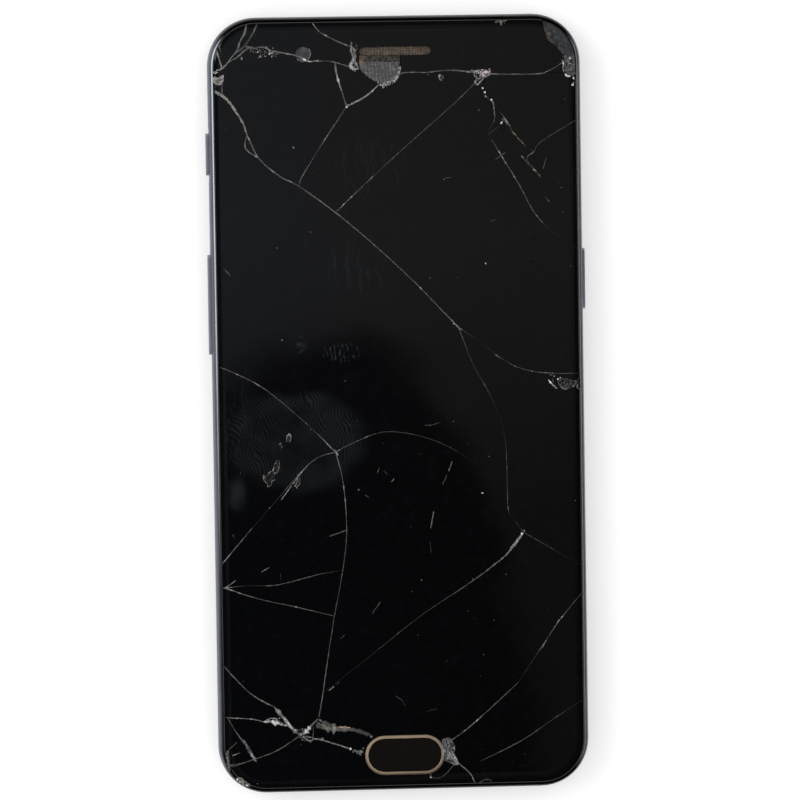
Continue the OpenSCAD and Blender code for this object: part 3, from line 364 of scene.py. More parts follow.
class Shapes:
    """Closed solids gathered into one mesh, with a colour at each corner."""

    def __init__(self):
        self.verts, self.faces, self.colours = [], [], []

    def tube(self, rings, colours, closed=False):
        """Cross-sections joined in a row, with flat ends or closed to a ring."""
        start, n, count = len(self.verts), len(rings[0]), len(rings)
        for ring, colour in zip(rings, colours):
            self.verts += ring
            self.colours += colour if isinstance(colour[0], list) else [colour] * n
        for i in range(count if closed else count - 1):
            a, b = start + i * n, start + (i + 1) % count * n
            self.faces += [(a + j, a + (j + 1) % n, b + (j + 1) % n, b + j) for j in range(n)]
        if not closed:
            last = start + (count - 1) * n
            self.faces.append(tuple(start + j for j in reversed(range(n))))
            self.faces.append(tuple(last + j for j in range(n)))

    def ribbon(self, stations, tint=GREY, **how):
        """A thin roof-shaped strip along the glass, in pieces where it leaves the glass."""
        run = []
        for p, width, shade in stations:
            if edge_distance(p) > GLASS_MARGIN:
                run.append((p, width, shade))
            else:
                self.strip(run, tint, **how)
                run = []
        self.strip(run, tint, **how)

    def strip(self, run, tint, jitter=0.03, rough=0.3, lift=0.012, node_chance=0.05, sides=1.0):
        """A strip that swells at some stations, and with sides under 1 is dimmer there."""
        if len(run) < 2:
            return
        rings, colours = [], []
        tones = [random.uniform(1 - rough, 1 + rough) for _ in range(len(run) // TONE_RUN + 2)]
        for i, (p, width, shade) in enumerate(run):
            at = i / TONE_RUN
            shade *= tones[int(at)] + (tones[int(at) + 1] - tones[int(at)]) * (at % 1)
            ahead = run[min(i + 1, len(run) - 1)][0] - run[max(i - 1, 0)][0]
            side = Vector((-ahead.y, ahead.x)).normalized()
            p = p + side * random.uniform(-jitter, jitter) * MM
            half = width * MM / 2 * random.uniform(1 - rough, 1 + rough)
            bright = shade * random.uniform(1 - rough / 2, 1 + rough / 2)
            if random.random() < node_chance:
                half, bright = half * NODE_WIDTH, bright * NODE_SHADE
            if i in (0, len(run) - 1):
                half *= END_WIDTH
            z = glass_height(p)
            left, right = p + side * half, p - side * half
            rings.append([(left.x, left.y, z - SUNK), (p.x, p.y, z + lift * MM),
                          (right.x, right.y, z - SUNK), (p.x, p.y, z - ROOT)])
            middle = display_colour(bright, tint)
            dim = [c * sides for c in middle]
            colours.append([dim, middle, dim, middle])
        self.tube(rings, colours)

    def stroke(self, ends, width, shade, tint, **how):
        """A straight mark between two points in percent."""
        a, b = on_glass(*ends[:2]), on_glass(*ends[2:])
        count = max(2, round((b - a).length / STROKE_STATION))
        self.ribbon([(a.lerp(b, i / count), width, shade) for i in range(count + 1)], tint, **how)

    def chip(self, p, z, size, shade, tint, tilt=0.35):
        """A small irregular splinter at a place, with its own tilt."""
        n = random.randint(3, 5)
        spin = random.uniform(0, math.tau)
        turn = Matrix.Rotation(random.uniform(-tilt, tilt), 3, "X") @ Matrix.Rotation(
            random.uniform(-tilt, tilt), 3, "Y")
        corners = [(size * random.uniform(0.6, 1.0), spin + math.tau * i / n) for i in range(n)]
        rings = []
        for height, spread in ((-0.2 * size, 1.0), (0.2 * size, 0.8)):
            ring = [turn @ Vector((r * spread * math.cos(a), r * spread * math.sin(a), height))
                    for r, a in corners]
            rings.append([(p.x + v.x, p.y + v.y, z + v.z) for v in ring])
        colour = display_colour(shade * random.uniform(0.55, 1.35), tint)
        self.tube(rings, [colour, colour])

    def sheet(self, outline, cell, lift, shades, tint, height, hatch=False):
        """A crumbled patch over an outline: uneven on top, sunk along its border."""
        border = []
        for a, b in sides_of(outline):
            count = max(1, round((b - a).length / cell))
            border += [wobble(a.lerp(b, i / count), WOBBLE * cell) for i in range(count)]
        verts, faces = mesh_outline(border, cell)
        start, count = len(self.verts), len(verts)
        used = dict.fromkeys(side for face in faces for side in sides_of(face))
        rim = [(a, b) for a, b in used if (b, a) not in used]
        sunk = {a for a, b in rim}
        for i, p in enumerate(verts):
            bump = 0 if i in sunk else random.uniform(0.15, 1) * lift
            self.verts.append((p.x, p.y, height(p) + bump))
            shade = random.uniform(*shades)
            if hatch:
                shade *= 0.85 + 0.15 * math.sin(p.x / MM * HATCH + p.y / MM)
            self.colours.append(display_colour(shade, tint))
        self.verts += [(p.x, p.y, height(p) - ROOT) for p in verts]
        self.colours += [display_colour(shades[0], tint)] * count
        self.faces += [tuple(start + i for i in face) for face in faces]
        self.faces += [tuple(start + count + i for i in reversed(face)) for face in faces]
        self.faces += [(start + b, start + a, start + count + a, start + count + b)
                       for a, b in rim]

    def web(self, outline, cell, width, shades, tint):
        """A net of fine cracks over an outline, with gaps."""
        verts, faces = mesh_outline([wobble(p, WOBBLE * cell) for p in outline], cell)
        for a, b in sorted({tuple(sorted(side)) for face in faces for side in sides_of(face)}):
            if random.random() < WEB_KEPT:
                shade = random.uniform(*shades)
                mid = wobble(verts[a].lerp(verts[b], 0.5), 0.15 * cell)
                self.ribbon([(p, width, shade) for p in (verts[a], mid, verts[b])], tint,
                            jitter=0, lift=0.02, node_chance=0.1)

    def piece(self, name, material, body):
        mesh = bpy.data.meshes.new(name)
        mesh.from_pydata(self.verts, [], self.faces)
        layer = mesh.color_attributes.new("shade", "FLOAT_COLOR", "POINT")
        layer.data.foreach_set("color", [x for c in self.colours for x in (*c, 1.0)])
        whole = bmesh.new()
        whole.from_mesh(mesh)
        bmesh.ops.recalc_face_normals(whole, faces=whole.faces)
        whole.to_mesh(mesh)
        whole.free()
        mesh.materials.append(material)
        made = add_object(name, mesh)
        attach(made, body)


def wobble(p, amount):
    return p + Vector((random.uniform(-amount, amount), random.uniform(-amount, amount)))


def mesh_outline(border, cell):
    """Triangles over a closed outline, with loose points inside it."""
    points = list(border)
    low, high = corners_of(border)
    for i in range(int((high.x - low.x) / cell)):
        for j in range(int((high.y - low.y) / cell)):
            p = wobble(low + Vector((i + 0.5, j + 0.5)) * cell, 0.3 * cell)
            if inside(p, border) and min((p - b).length for b in border) > 0.4 * cell:
                points.append(p)
    big = [p * 1000 for p in points]      # the mesher's tolerance suits numbers near 1
    verts, _, faces, *_ = delaunay_2d_cdt(big, [], [list(range(len(border)))], 1, 1e-5)
    return [p / 1000 for p in verts], [list(f) for f in faces]


def corners_of(points):
    return (Vector((min(p.x for p in points), min(p.y for p in points))),
            Vector((max(p.x for p in points), max(p.y for p in points))))


def inside(p, outline):
    """Whether a point lies in a closed outline of points."""
    found = False
    for a, b in sides_of(outline):
        if (a.y > p.y) != (b.y > p.y) and p.x < (b.x - a.x) * (p.y - a.y) / (b.y - a.y) + a.x:
            found = not found
    return found


# ------------------------------------------------------------------ materials
def fracture_material():
    """Broken glass faces: pale and matt, in the shade that each corner carries."""
    material, n, shader = new_material("broken glass", Roughness=0.32, IOR=1.5)
    place = n.place()
    colour = n.add("Attribute", attribute_name="shade").outputs["Color"]
    grain = n.fit(n.noise(place, 4.5, stretch=(1, 1.6, 1)), 0.38, 0.66, 0.0, 0.7)
    n.put(shader, Base_Color=n.mix(grain, colour, (0.006, 0.006, 0.007)),
          Normal=n.bump(n.noise(place, 14.0), 0.02))
    return material


def dirt_material():
    """Dust and residue in the shade that each corner carries."""
    material, n, shader = new_material("dust and residue", Roughness=0.4)
    place = n.place()
    colour = n.add("Attribute", attribute_name="shade").outputs["Color"]
    grain = n.fit(n.noise(place, 6.0), 0.3, 0.7, 0.0, 0.4)
    n.put(shader, Base_Color=n.mix(grain, colour, (0.01, 0.01, 0.01)),
          Normal=n.bump(n.noise(place, 10.0), 0.03))
    return material


PERCENT_X, PERCENT_Y = 36 / 100, 76 / 100    # millimetres on the glass for one percent
WARP = 5                     # how far noise bends the marks on the glass, in mm


def glass_material():
    """Glossy glass bonded to a dark screen, with finger marks, smears and dust film."""
    material, n, shader = new_material("screen glass", IOR=1.5)
    place = n.place()
    warp = n.add("TexNoise", {"Vector": place, "Scale": 0.13}).outputs["Color"]
    bent = n.add("VectorMath", {0: warp, 1: (WARP, WARP, 0), 2: place},
                 operation="MULTIPLY_ADD").outputs[0]

    def mark(x, y, radii, inner):
        """A soft ellipse round a point in percent."""
        return n.spot(place, (x * PERCENT_X, y * PERCENT_Y), radii, inner)

    def bent_mark(x, y, radii, inner):
        centre = x * PERCENT_X + WARP / 2, y * PERCENT_Y + WARP / 2
        return n.spot(bent, centre, radii, inner)

    # ridges of a finger mark at the left of the middle
    middle = (-95 * PERCENT_X, -24 * PERCENT_Y, 0)
    around = n.vector("MULTIPLY", n.vector("SUBTRACT", bent, middle), (1, 0.5, 0))
    ridges = n.wave(around, 0.5, distortion=1.2, wave_type="RINGS", rings_direction="Z")
    patch = n.fit(n.noise(place, 0.16), 0.32, 0.6)
    finger = n.times(bent_mark(-58, -9, (16, 11), 0.72), n.fit(patch, 0, 1, 0.4, 1),
                    n.fit(ridges, 0.2, 0.8, 0.07, 0.24))
    # a second one above it, of which short slanting strokes are left
    slant = n.wave(n.vector("MULTIPLY", bent, (1, 0.35, 0)), 0.55, distortion=3.5,
                   bands_direction="DIAGONAL")
    broken = n.fit(n.noise(place, 1.1, detail=2.0), 0.42, 0.6)
    strokes = n.times(n.fit(slant, 0.5, 0.85), broken)
    second = n.times(mark(-32, 14, (4.4, 2.3), 0.5), strokes)
    smear = n.times(bent_mark(-54, 15.5, (1.2, 2.2), 0.1), broken)
    # wiping streaks over the upper half
    streaks = n.noise(bent, 1.3, detail=4.0, stretch=(1.3, 0.14, 1))
    wiped = n.most(mark(-14, 62, (11, 9), 0.2), mark(-22, 36, (11, 8), 0.2))
    wiped = n.times(wiped, n.fit(streaks, 0.5, 0.75))
    edge_smears = n.times(mark(-90, -8, (5, 14), 0.3),
                         n.fit(n.noise(bent, 0.9, stretch=(1.6, 0.3, 1)), 0.5, 0.7))
    haze = bent_mark(-90, -22, (2.4, 5), 0.1)
    film = n.fit(n.noise(place, 0.5, detail=5.0, roughness=0.7), 0.5, 0.85)
    layers = [n.times(mask, amount) for mask, amount in (
        (second, 0.5), (smear, 0.35), (wiped, 0.2), (edge_smears, 0.2), (haze, 0.27),
        (film, 0.05))]
    dirty = n.most(finger, *layers)
    colour = n.mix(dirty, (0.0011, 0.0012, 0.0016), (0.034, 0.039, 0.045))
    # the front camera shows through a clear spot
    lens, iris = mark(-50.5, 91.7, (1.5, 1.5), 0.93), mark(-50.5, 91.7, (0.8, 0.8), 0.7)
    cloudy = n.fit(n.noise(place, 0.9), 0.35, 0.65, 0.35, 1)
    colour = n.mix(n.times(lens, cloudy), colour, (0.085, 0.083, 0.09))
    colour = n.mix(n.times(iris, 0.6), colour, (0.03, 0.03, 0.036))
    ripple = n.bump(n.noise(place, 0.05, detail=1.0), 0.05)
    n.put(shader, Base_Color=colour, Roughness=n.fit(dirty, 0, 0.6, 0.03, 0.3),
          Normal=n.bump(dirty, 0.002, onto=ripple))
    return material


def metal_material(name, base, roughness=0.34, grain=0.35, scuffs=0.5, edge=0.12,
                   metallic=1.0, painted_shade=None):
    """Bead-blasted, dyed aluminium with a fine grain, bare scuffs and perhaps painted shade from a
    mask.
    """
    material, n, shader = new_material(name, Metallic=metallic)
    place = n.place()
    blasted = n.noise(place, 6.0, detail=4.0)
    scratch = n.noise(place, 1.3, detail=6.0, stretch=(2.5, 0.5, 2.5), roughness=0.75)
    worn = n.fit(scratch, 0.66, 0.74, 0, scuffs)
    cloud = n.noise(place, 0.15, detail=2.0)
    colour = n.mix(n.fit(cloud, 0.3, 0.7), base, tuple(c * 0.86 for c in base))
    colour = n.mix(worn, colour, tuple(min(1.0, c * 1.9 + 0.05) for c in base))
    if painted_shade:
        # painted shade: the mask darkens the colour towards near black
        colour = n.mix(painted_shade(n, place), colour, tuple(0.05 * c for c in base))
    matt = n.fit(n.math("ADD", blasted, worn), 0.3, 1.2, roughness, roughness + 0.14)
    rounded = n.add("Bevel", {"Radius": edge * MM}, samples=4)
    n.put(shader, Base_Color=colour, Roughness=matt,
          Normal=n.bump(blasted, 0.012 * grain, onto=rounded.outputs[0]))
    return material


def plain_material(name, base, roughness=0.5, metallic=0.0, scale=3.0, depth=0.02):
    """A moulded or plated surface with a little grain and colour change."""
    material, n, shader = new_material(name, Metallic=metallic)
    grain = n.noise(n.place(), scale, detail=4.0)
    n.put(shader, Base_Color=n.mix(n.fit(grain, 0.3, 0.7), base, tuple(c * 0.75 for c in base)),
          Roughness=n.fit(grain, 0.3, 0.7, roughness, roughness + 0.12),
          Normal=n.bump(grain, depth))
    return material


def woven_material(name, base, dark):
    """Fine wire weave."""
    material, n, shader = new_material(name, Metallic=0.7)
    place = n.place()
    height = n.most(*(n.wave(place, 0.3, distortion=0.4, bands_direction=axis)
                                 for axis in "XY"))
    worn = n.fit(n.noise(place, 1.2, detail=4.0), 0.35, 0.65)
    colour = n.mix(n.fit(height, 0.25, 0.9), dark, base)
    n.put(shader, Base_Color=n.mix(n.times(worn, 0.45), colour, dark),
          Roughness=n.fit(worn, 0, 1, 0.4, 0.65), Normal=n.bump(height, 0.08))
    return material


def board_material():
    """Green circuit board with copper traces under its lacquer and printed pads."""
    material, n, shader = new_material("circuit board", Roughness=0.35)
    place = n.place()
    across = n.wave(place, 1.1, distortion=3.0, bands_direction="X")
    along = n.wave(place, 1.7, distortion=3.0, bands_direction="Y")
    traces = n.most(n.fit(across, 0.75, 0.8), n.fit(along, 0.8, 0.85))
    colour = n.mix(n.times(traces, 0.5), (0.012, 0.07, 0.045), (0.06, 0.16, 0.09))
    pads = n.fit(n.noise(place, 1.4, detail=0.0), 0.7, 0.72)
    n.put(shader, Base_Color=n.mix(pads, colour, (0.55, 0.42, 0.16)),
          Normal=n.bump(traces, 0.03))
    return material


def ends_painted_shade(n, place):
    """Painted shade: the front lip is darker at the two short ends."""
    x, y, z = n.split(place)
    return n.times(n.fit(n.math("ABSOLUTE", y), 70.5, 73.5), n.fit(z, 3, 5))


def rim_painted_shade(n, place):
    """Painted shade: darker at the lower end of the left side, so the highlight fades, and at the short
    ends.
    """
    x, y, z = n.split(place)
    # this mask paints shade over the lower left of the rim
    worn = n.times(n.fit(y, -36, 16, 0.9, 0), n.fit(x, -30, -10, 1, 0))
    return n.most(worn, ends_painted_shade(n, place))


HOME_FLANGE = 0.55           # how far the ring reaches under the glass, in mm


def ring_painted_shade(n, place):
    """Painted shade, darker at the lower right and outer edge; the upper left and inner lip stay
    bright.
    """
    low, high = (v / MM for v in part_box("home_ring"))
    size = high - low
    x, y, z = n.split(n.vector("SUBTRACT", place, tuple((low + high) / 2)))
    beyond = n.most(n.math("SUBTRACT", n.math("ABSOLUTE", x),
                                      (size.x - size.y) / 2), 0)
    out = n.math("SQRT", n.math("ADD", n.times(beyond, beyond),
                                n.times(y, y)))
    rim = size.y / 2 - HOME_FLANGE
    side = n.math("SUBTRACT", n.times(x, 0.25), y)
    # painted shade over the outer band, strongest at the lower right
    outer_band_shade = n.times(n.fit(out, rim - 0.36, rim - 0.24),
                     n.fit(side, -3.5, 2.5, 0.1, 0.72))
    outer_edge_shade = n.fit(out, rim - 0.13, rim - 0.03, 0, 0.6)
    across = n.math("SUBTRACT", x, n.times(y, 1.6))
    return n.most(outer_band_shade, outer_edge_shade, n.fit(across, -6, 14, 0, 0.45))


def key_sides_painted_shade(n, place):
    """Painted shade: a key is darker on the faces that turn away from the front."""
    x, y, z = n.split(n.add("TexCoord").outputs["Normal"])
    return n.fit(z, 0.15, 0.6, 0.78, 0)


broken_glass = fracture_material()
dirt = dirt_material()
# the rim, body, key and ring metals carry painted shade from the masks given to them
rim_metal = metal_material("rim metal", (0.34, 0.365, 0.41), 0.17, grain=0.2, edge=0.03,
                           painted_shade=rim_painted_shade)

# What each part of the phone is made of
DRESS = [
    ("cover_glass", glass_material()),
    ("main_board lower_board", board_material()),
    ("rear_housing sim_tray",
     metal_material("body metal", (0.095, 0.103, 0.128), painted_shade=ends_painted_shade)),
    ("alert_slider volume_rocker power_button",
     metal_material("key metal", (0.5, 0.52, 0.6), 0.5, edge=0.3, metallic=0.75,
                    painted_shade=key_sides_painted_shade)),
    ("mid_frame", metal_material("inner frame metal", (0.10, 0.11, 0.13), 0.42, grain=0.6)),
    ("home_ring", metal_material("ring metal", (0.95, 0.74, 0.52), 0.5, grain=0.3, scuffs=0.35,
                                 edge=0.25, metallic=0.8, painted_shade=ring_painted_shade)),
    ("rear_camera_bezel", metal_material("bezel metal", (0.36, 0.37, 0.41), 0.28)),
    ("eject_rod board_screws bottom_screws",
     metal_material("screw steel", (0.42, 0.42, 0.43), 0.3)),
    ("earpiece_mesh",
     woven_material("earpiece mesh", (0.34, 0.265, 0.205), (0.026, 0.022, 0.02))),
    ("speaker_mesh", woven_material("fine mesh", (0.10, 0.10, 0.105), (0.012, 0.012, 0.013))),
    ("shield_cans sim_reader vibration_motor",
     plain_material("shield metal", (0.6, 0.6, 0.58), 0.32, 1.0, scale=0.8, depth=0.03)),
    ("usb_socket", plain_material("socket metal", (0.5, 0.5, 0.5), 0.28, 1.0, scale=2.0)),
    ("front_camera earpiece_speaker headphone_jack loudspeaker antenna_bracket "
     "rear_camera_module", plain_material("black plastic", (0.02, 0.02, 0.022), 0.45)),
    ("alert_switch volume_switches power_switch microphone",
     plain_material("switch parts", (0.42, 0.42, 0.4), 0.45, 0.4)),
    ("antenna_band_top antenna_band_bottom",
     plain_material("antenna plastic", (0.012, 0.0125, 0.016), depth=0.01)),
    ("display_gasket",
     plain_material("gasket", (0.03, 0.031, 0.035), 0.7, scale=5.0, depth=0.05)),
    ("display_panel", plain_material("display", (0.004, 0.004, 0.006), 0.15, depth=0.002)),
    ("home_cap",
     plain_material("home cap", (0.005, 0.0018, 0.0018), 0.22, scale=7.0, depth=0.004)),
    ("main_flex battery_flex display_flex",
     plain_material("flex film", (0.28, 0.11, 0.03), 0.4, scale=1.5)),
    ("battery",
     plain_material("battery wrap", (0.035, 0.036, 0.04), 0.38, scale=0.6, depth=0.06)),
    ("heat_spreader", plain_material("graphite", (0.05, 0.05, 0.052), 0.45, 0.3, scale=4.0)),
    ("coax_cable", plain_material("cable jacket", (0.02, 0.02, 0.02), scale=4.0)),
    ("status_led", plain_material("clear guide", (0.55, 0.55, 0.52), 0.25, depth=0.005)),
    ("fingerprint_sensor proximity_sensor",
     plain_material("chip", (0.025, 0.02, 0.022), 0.35)),
    ("rear_camera_window",
     plain_material("lens glass", (0.006, 0.008, 0.016), 0.06, depth=0.001)),
    ("flash_lens",
     plain_material("flash plastic", (0.75, 0.7, 0.48), 0.3, scale=6.0, depth=0.06)),
]
for names, material in DRESS:
    for name in names.split():
        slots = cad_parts[name].data.materials
        slots.clear()
        slots.append(material)


# ------------------------------------------------------------------ cracks
# Each crack follows its slit in the glass. Rows are x and y in percent, the width in mm
# and the shade.
CRACKS = [
    (CREAM, [(-103, 84, .8, .6), (-100, 83, .9, .66), (-97.5, 82.1, .95, .62), (-94.9, 81.2, .74, .6),
     (-90.5, 79, .6, .58), (-84, 74, .62, .56), (-82, 71, .4, .52), (-76, 65, .34, .45)]),
    (GREY, [(-82, 71, .3, .4), (-76, 65, .34, .45), (-64, 60, .3, .42), (-54, 57.5, .3, .4),
     (-34, 50.5, .3, .42), (-12, 41.5, .27, .34), (8, 32.5, .22, .38), (22, 25.5, .22, .44),
     (33, 20, .26, .62)]),
    (GREY, [(-82, 71, .26, .46), (-83, 67.5, .26, .44), (-76, 65, .28, .44)]),
    (GREY, [(33, 20, .24, .42), (41, 10, .22, .34), (48, 4, .22, .32), (55, -3.5, .12, .1),
     (58.5, -12, .2, .26), (59, -27, .24, .36), (61.5, -30, .12, .1), (67.5, -34, .26, .5)]),
    (GREY, [(33, 20, .24, .5), (45, 16, .16, .16), (64, 9.5, .2, .36), (84, 7.5, .3, .5),
     (103, 7.5, .15, .2)]),
    (GREY, [(-33, 89.5, .5, .48), (-32, 86, .5, .52), (-27, 78, .34, .58)]),
    (GREY, [(-27, 78, .4, .6), (-16.5, 80.5, .42, .56), (-9, 83.5, .34, .62)]),
    (GREY, [(-27, 78, .25, .42), (-42, 67.5, .24, .38), (-52, 60, .25, .4), (-54, 57.5, .3, .45)]),
    (GREY, [(-49, 103, .3, .5), (-42.5, 98, .3, .48), (-34, 95.5, .28, .42), (-26, 93.8, .35, .45),
     (-22.5, 93, .5, .5), (-22, 90, .5, .55), (-20, 87.5, .4, .55)]),
    (GREY, [(-96.4, 87.9, .3, .5), (-91, 90, .35, .42), (-86.6, 91.2, .36, .44), (-81.5, 93.2, .45, .5),
     (-76.9, 93.4, .4, .46), (-73.8, 93.7, .44, .52), (-70.7, 93.5, .36, .5), (-68.1, 92.7, .38, .58),
     (-65.5, 92.5, .34, .5), (-58, 91.8, .36, .46), (-54.3, 91.3, .26, .5), (-51.5, 90.9, .3, .5),
     (-49.1, 90.1, .34, .85), (-46.7, 89.8, .3, .8), (-43.6, 89.9, .26, .5), (-37, 89.8, .26, .34),
     (-33, 89.5, .3, .5), (-26, 88.4, .34, .5), (-20, 87.5, .4, .55)]),
    (GREY, [(0, 84.5, .3, .5), (4, 86.5, .3, .42), (17, 86.5, .26, .42), (31, 87, .38, .42),
     (49, 86, .36, .5), (66, 85.7, .28, .44), (72, 85.7, .2, .3), (81, 85.8, .28, .46),
     (88, 87.2, .22, .34), (92.4, 88.6, .3, .45)]),
    (GREY, [(-79.6, 103, .3, .34), (-80.2, 100.8, .34, .4), (-81.3, 99.1, .4, .46),
     (-82.5, 97.1, .54, .5), (-84.8, 95.4, .4, .44), (-86.6, 92.8, .54, .46), (-88.8, 91.7, .46, .52),
     (-92.9, 89.2, .34, .48), (-96.4, 87.9, .36, .54), (-101, 88, .4, .54)]),
    (GREY, [(-74.4, 103, .4, .24), (-75.2, 99.8, .44, .28), (-79, 96.4, .56, .32),
     (-82.6, 94, .56, .38), (-86.4, 92.5, .34, .36)]),
    (PINK, [(-97.5, 95.9, .4, .32), (-98.4, 94, .44, .44), (-97.4, 92.4, .66, .5),
     (-96.2, 90.1, .34, .46), (-94.9, 88.4, .28, .48)]),
    (PINK, [(-96.6, 94.9, .34, .38), (-95.6, 92.7, .38, .46)]),
    (PINK, [(-82.8, 94.1, .44, .4), (-80.4, 93.8, .55, .46), (-77.6, 93.5, .44, .46)]),
    (GREY, [(-84.2, 91.4, .34, .46), (-84.1, 90.4, .44, .48)]),
    (GREY, [(-94.5, 86.8, .24, .44), (-95.3, 83, .24, .44), (-94.9, 81.2, .24, .44)]),
    (GREY, [(49, 86, .26, .46), (34, 79, .24, .38), (13, 70.5, .22, .36), (-10, 61, .2, .32),
     (-34, 50.5, .24, .42)]),
    (GREY, [(53, 79.3, .36, .64), (54.1, 78, .28, .5), (54.4, 76.4, .24, .42), (54.5, 73.8, .18, .3),
     (51.5, 70.5, .12, .12), (57.5, 65, .28, .44), (67, 57.5, .24, .38), (76, 49.5, .24, .4),
     (86, 44.5, .15, .2), (103, 39, .12, .1)]),
    (GREY, [(49.5, 80.5, .22, .34), (55.7, 76.8, .12, .16), (58.4, 75.5, .2, .38), (60.4, 74, .34, .5),
     (62.9, 72.4, .32, .46), (64, 71, .2, .3), (68, 69, .1, .1), (73, 66.5, .12, .16),
     (76.5, 65.5, .25, .46)]),
    (GREY, [(76.5, 65.5, .24, .44), (72, 63.5, .24, .4), (80, 59, .22, .34)]),
    (GREY, [(103, 74.5, .2, .3), (80, 68, .2, .36), (76.5, 65.5, .14, .12)]),
    (GREY, [(-103, 11.5, .22, .36), (-90.5, 9, .24, .4), (-73.5, 4.5, .24, .4), (-50.5, -5, .22, .32),
     (-36, -12, .3, .58)]),
    (GREY, [(-36, -12, .25, .52), (-46.5, -13.5, .24, .48), (-56, -17.5, .26, .5), (-74, -27, .12, .08),
     (-92, -36.5, .2, .36), (-103, -42.5, .22, .5)]),
    (GREY, [(-36, -12, .22, .45), (-27.5, -10, .22, .38), (-10, -7, .22, .36), (9, -8, .22, .36),
     (28, -11.5, .18, .26), (43.5, -16.5, .1, .07)]),
    (GREY, [(-36, -12, .26, .52), (-32, -20, .28, .48), (-30.5, -32.5, .25, .42), (-33, -43, .25, .42),
     (-38, -55, .25, .42), (-41, -63, .25, .44), (-45, -75, .26, .46), (-47.5, -81.5, .3, .5)]),
    (GREY, [(-30.5, -32.5, .25, .46), (-40, -34, .26, .5)]),
    (GREY, [(-103, -47, .2, .3), (-98, -47, .36, .6), (-87, -46.5, .16, .2), (-69.5, -46.5, .22, .38),
     (-47, -44, .22, .4), (-33, -43, .1, .08)]),
    (GREY, [(-98, -47, .34, .6), (-92, -45, .22, .44)]),
    (GREY, [(-98, -47, .34, .55), (-80, -50, .26, .42), (-58, -52.5, .26, .42), (-38, -55, .22, .36)]),
    (GREY, [(67.5, -34, .6, .66), (57.5, -40, .48, .6), (37.5, -47, .24, .4), (12.5, -54.5, .22, .32),
     (-10, -62.5, .2, .28), (-27.5, -69, .12, .1), (-45, -75, .1, .07)]),
    (GREY, [(67.5, -34, .3, .4), (85, -39, .2, .26), (103, -44, .1, .08)]),
    (GREY, [(103, -48.5, .2, .3), (87.5, -57, .24, .38), (76.5, -64.5, .24, .4),
     (63.5, -73.5, .1, .07)]),
    (GREY, [(63.5, -73.5, .2, .3), (47, -80.5, .26, .5), (34.5, -85.5, .28, .5), (24, -89, .28, .5),
     (20, -91, .4, .5)]),
    (GREY, [(103, -77.5, .1, .08), (84, -83, .2, .28), (64.5, -89, .28, .48), (42, -94, .2, .34)]),
    (GREY, [(24, -89, .36, .48), (26.5, -91.5, .36, .52), (28.5, -94, .4, .55), (36.5, -97.5, .28, .5),
     (41, -103, .25, .48)]),
    (GREY, [(28.5, -94, .22, .4), (20.5, -98, .22, .32), (14, -98, .2, .3)]),
    (GREY, [(-103, -65.5, .3, .5), (-86, -74.5, .3, .5), (-72, -78.5, .34, .5)]),
    (GREY, [(-103, -80, .24, .34), (-98, -81, .3, .48), (-85, -81.5, .3, .5), (-78.2, -82.3, .34, .6)]),
    (GREY, [(-98, -81, .24, .42), (-92.5, -85.5, .3, .44), (-83, -92, .5, .48)]),
    (PINK, [(-57.5, -86, .34, .48), (-71, -90, .26, .44), (-83, -92, .3, .48), (-103, -95, .2, .3)]),
    (GREY, [(-51, -87, .4, .54), (-46, -87.4, .5, .56), (-42.5, -88, .5, .5), (-36, -89, .4, .46),
     (-30.5, -90, .44, .6)]),
    (GREY, [(-50.5, -83, .22, .4), (-51, -87.5, .22, .4)]),
    (GREY, [(-101, -91, .2, .3), (-93, -87.5, .2, .36)]),
]

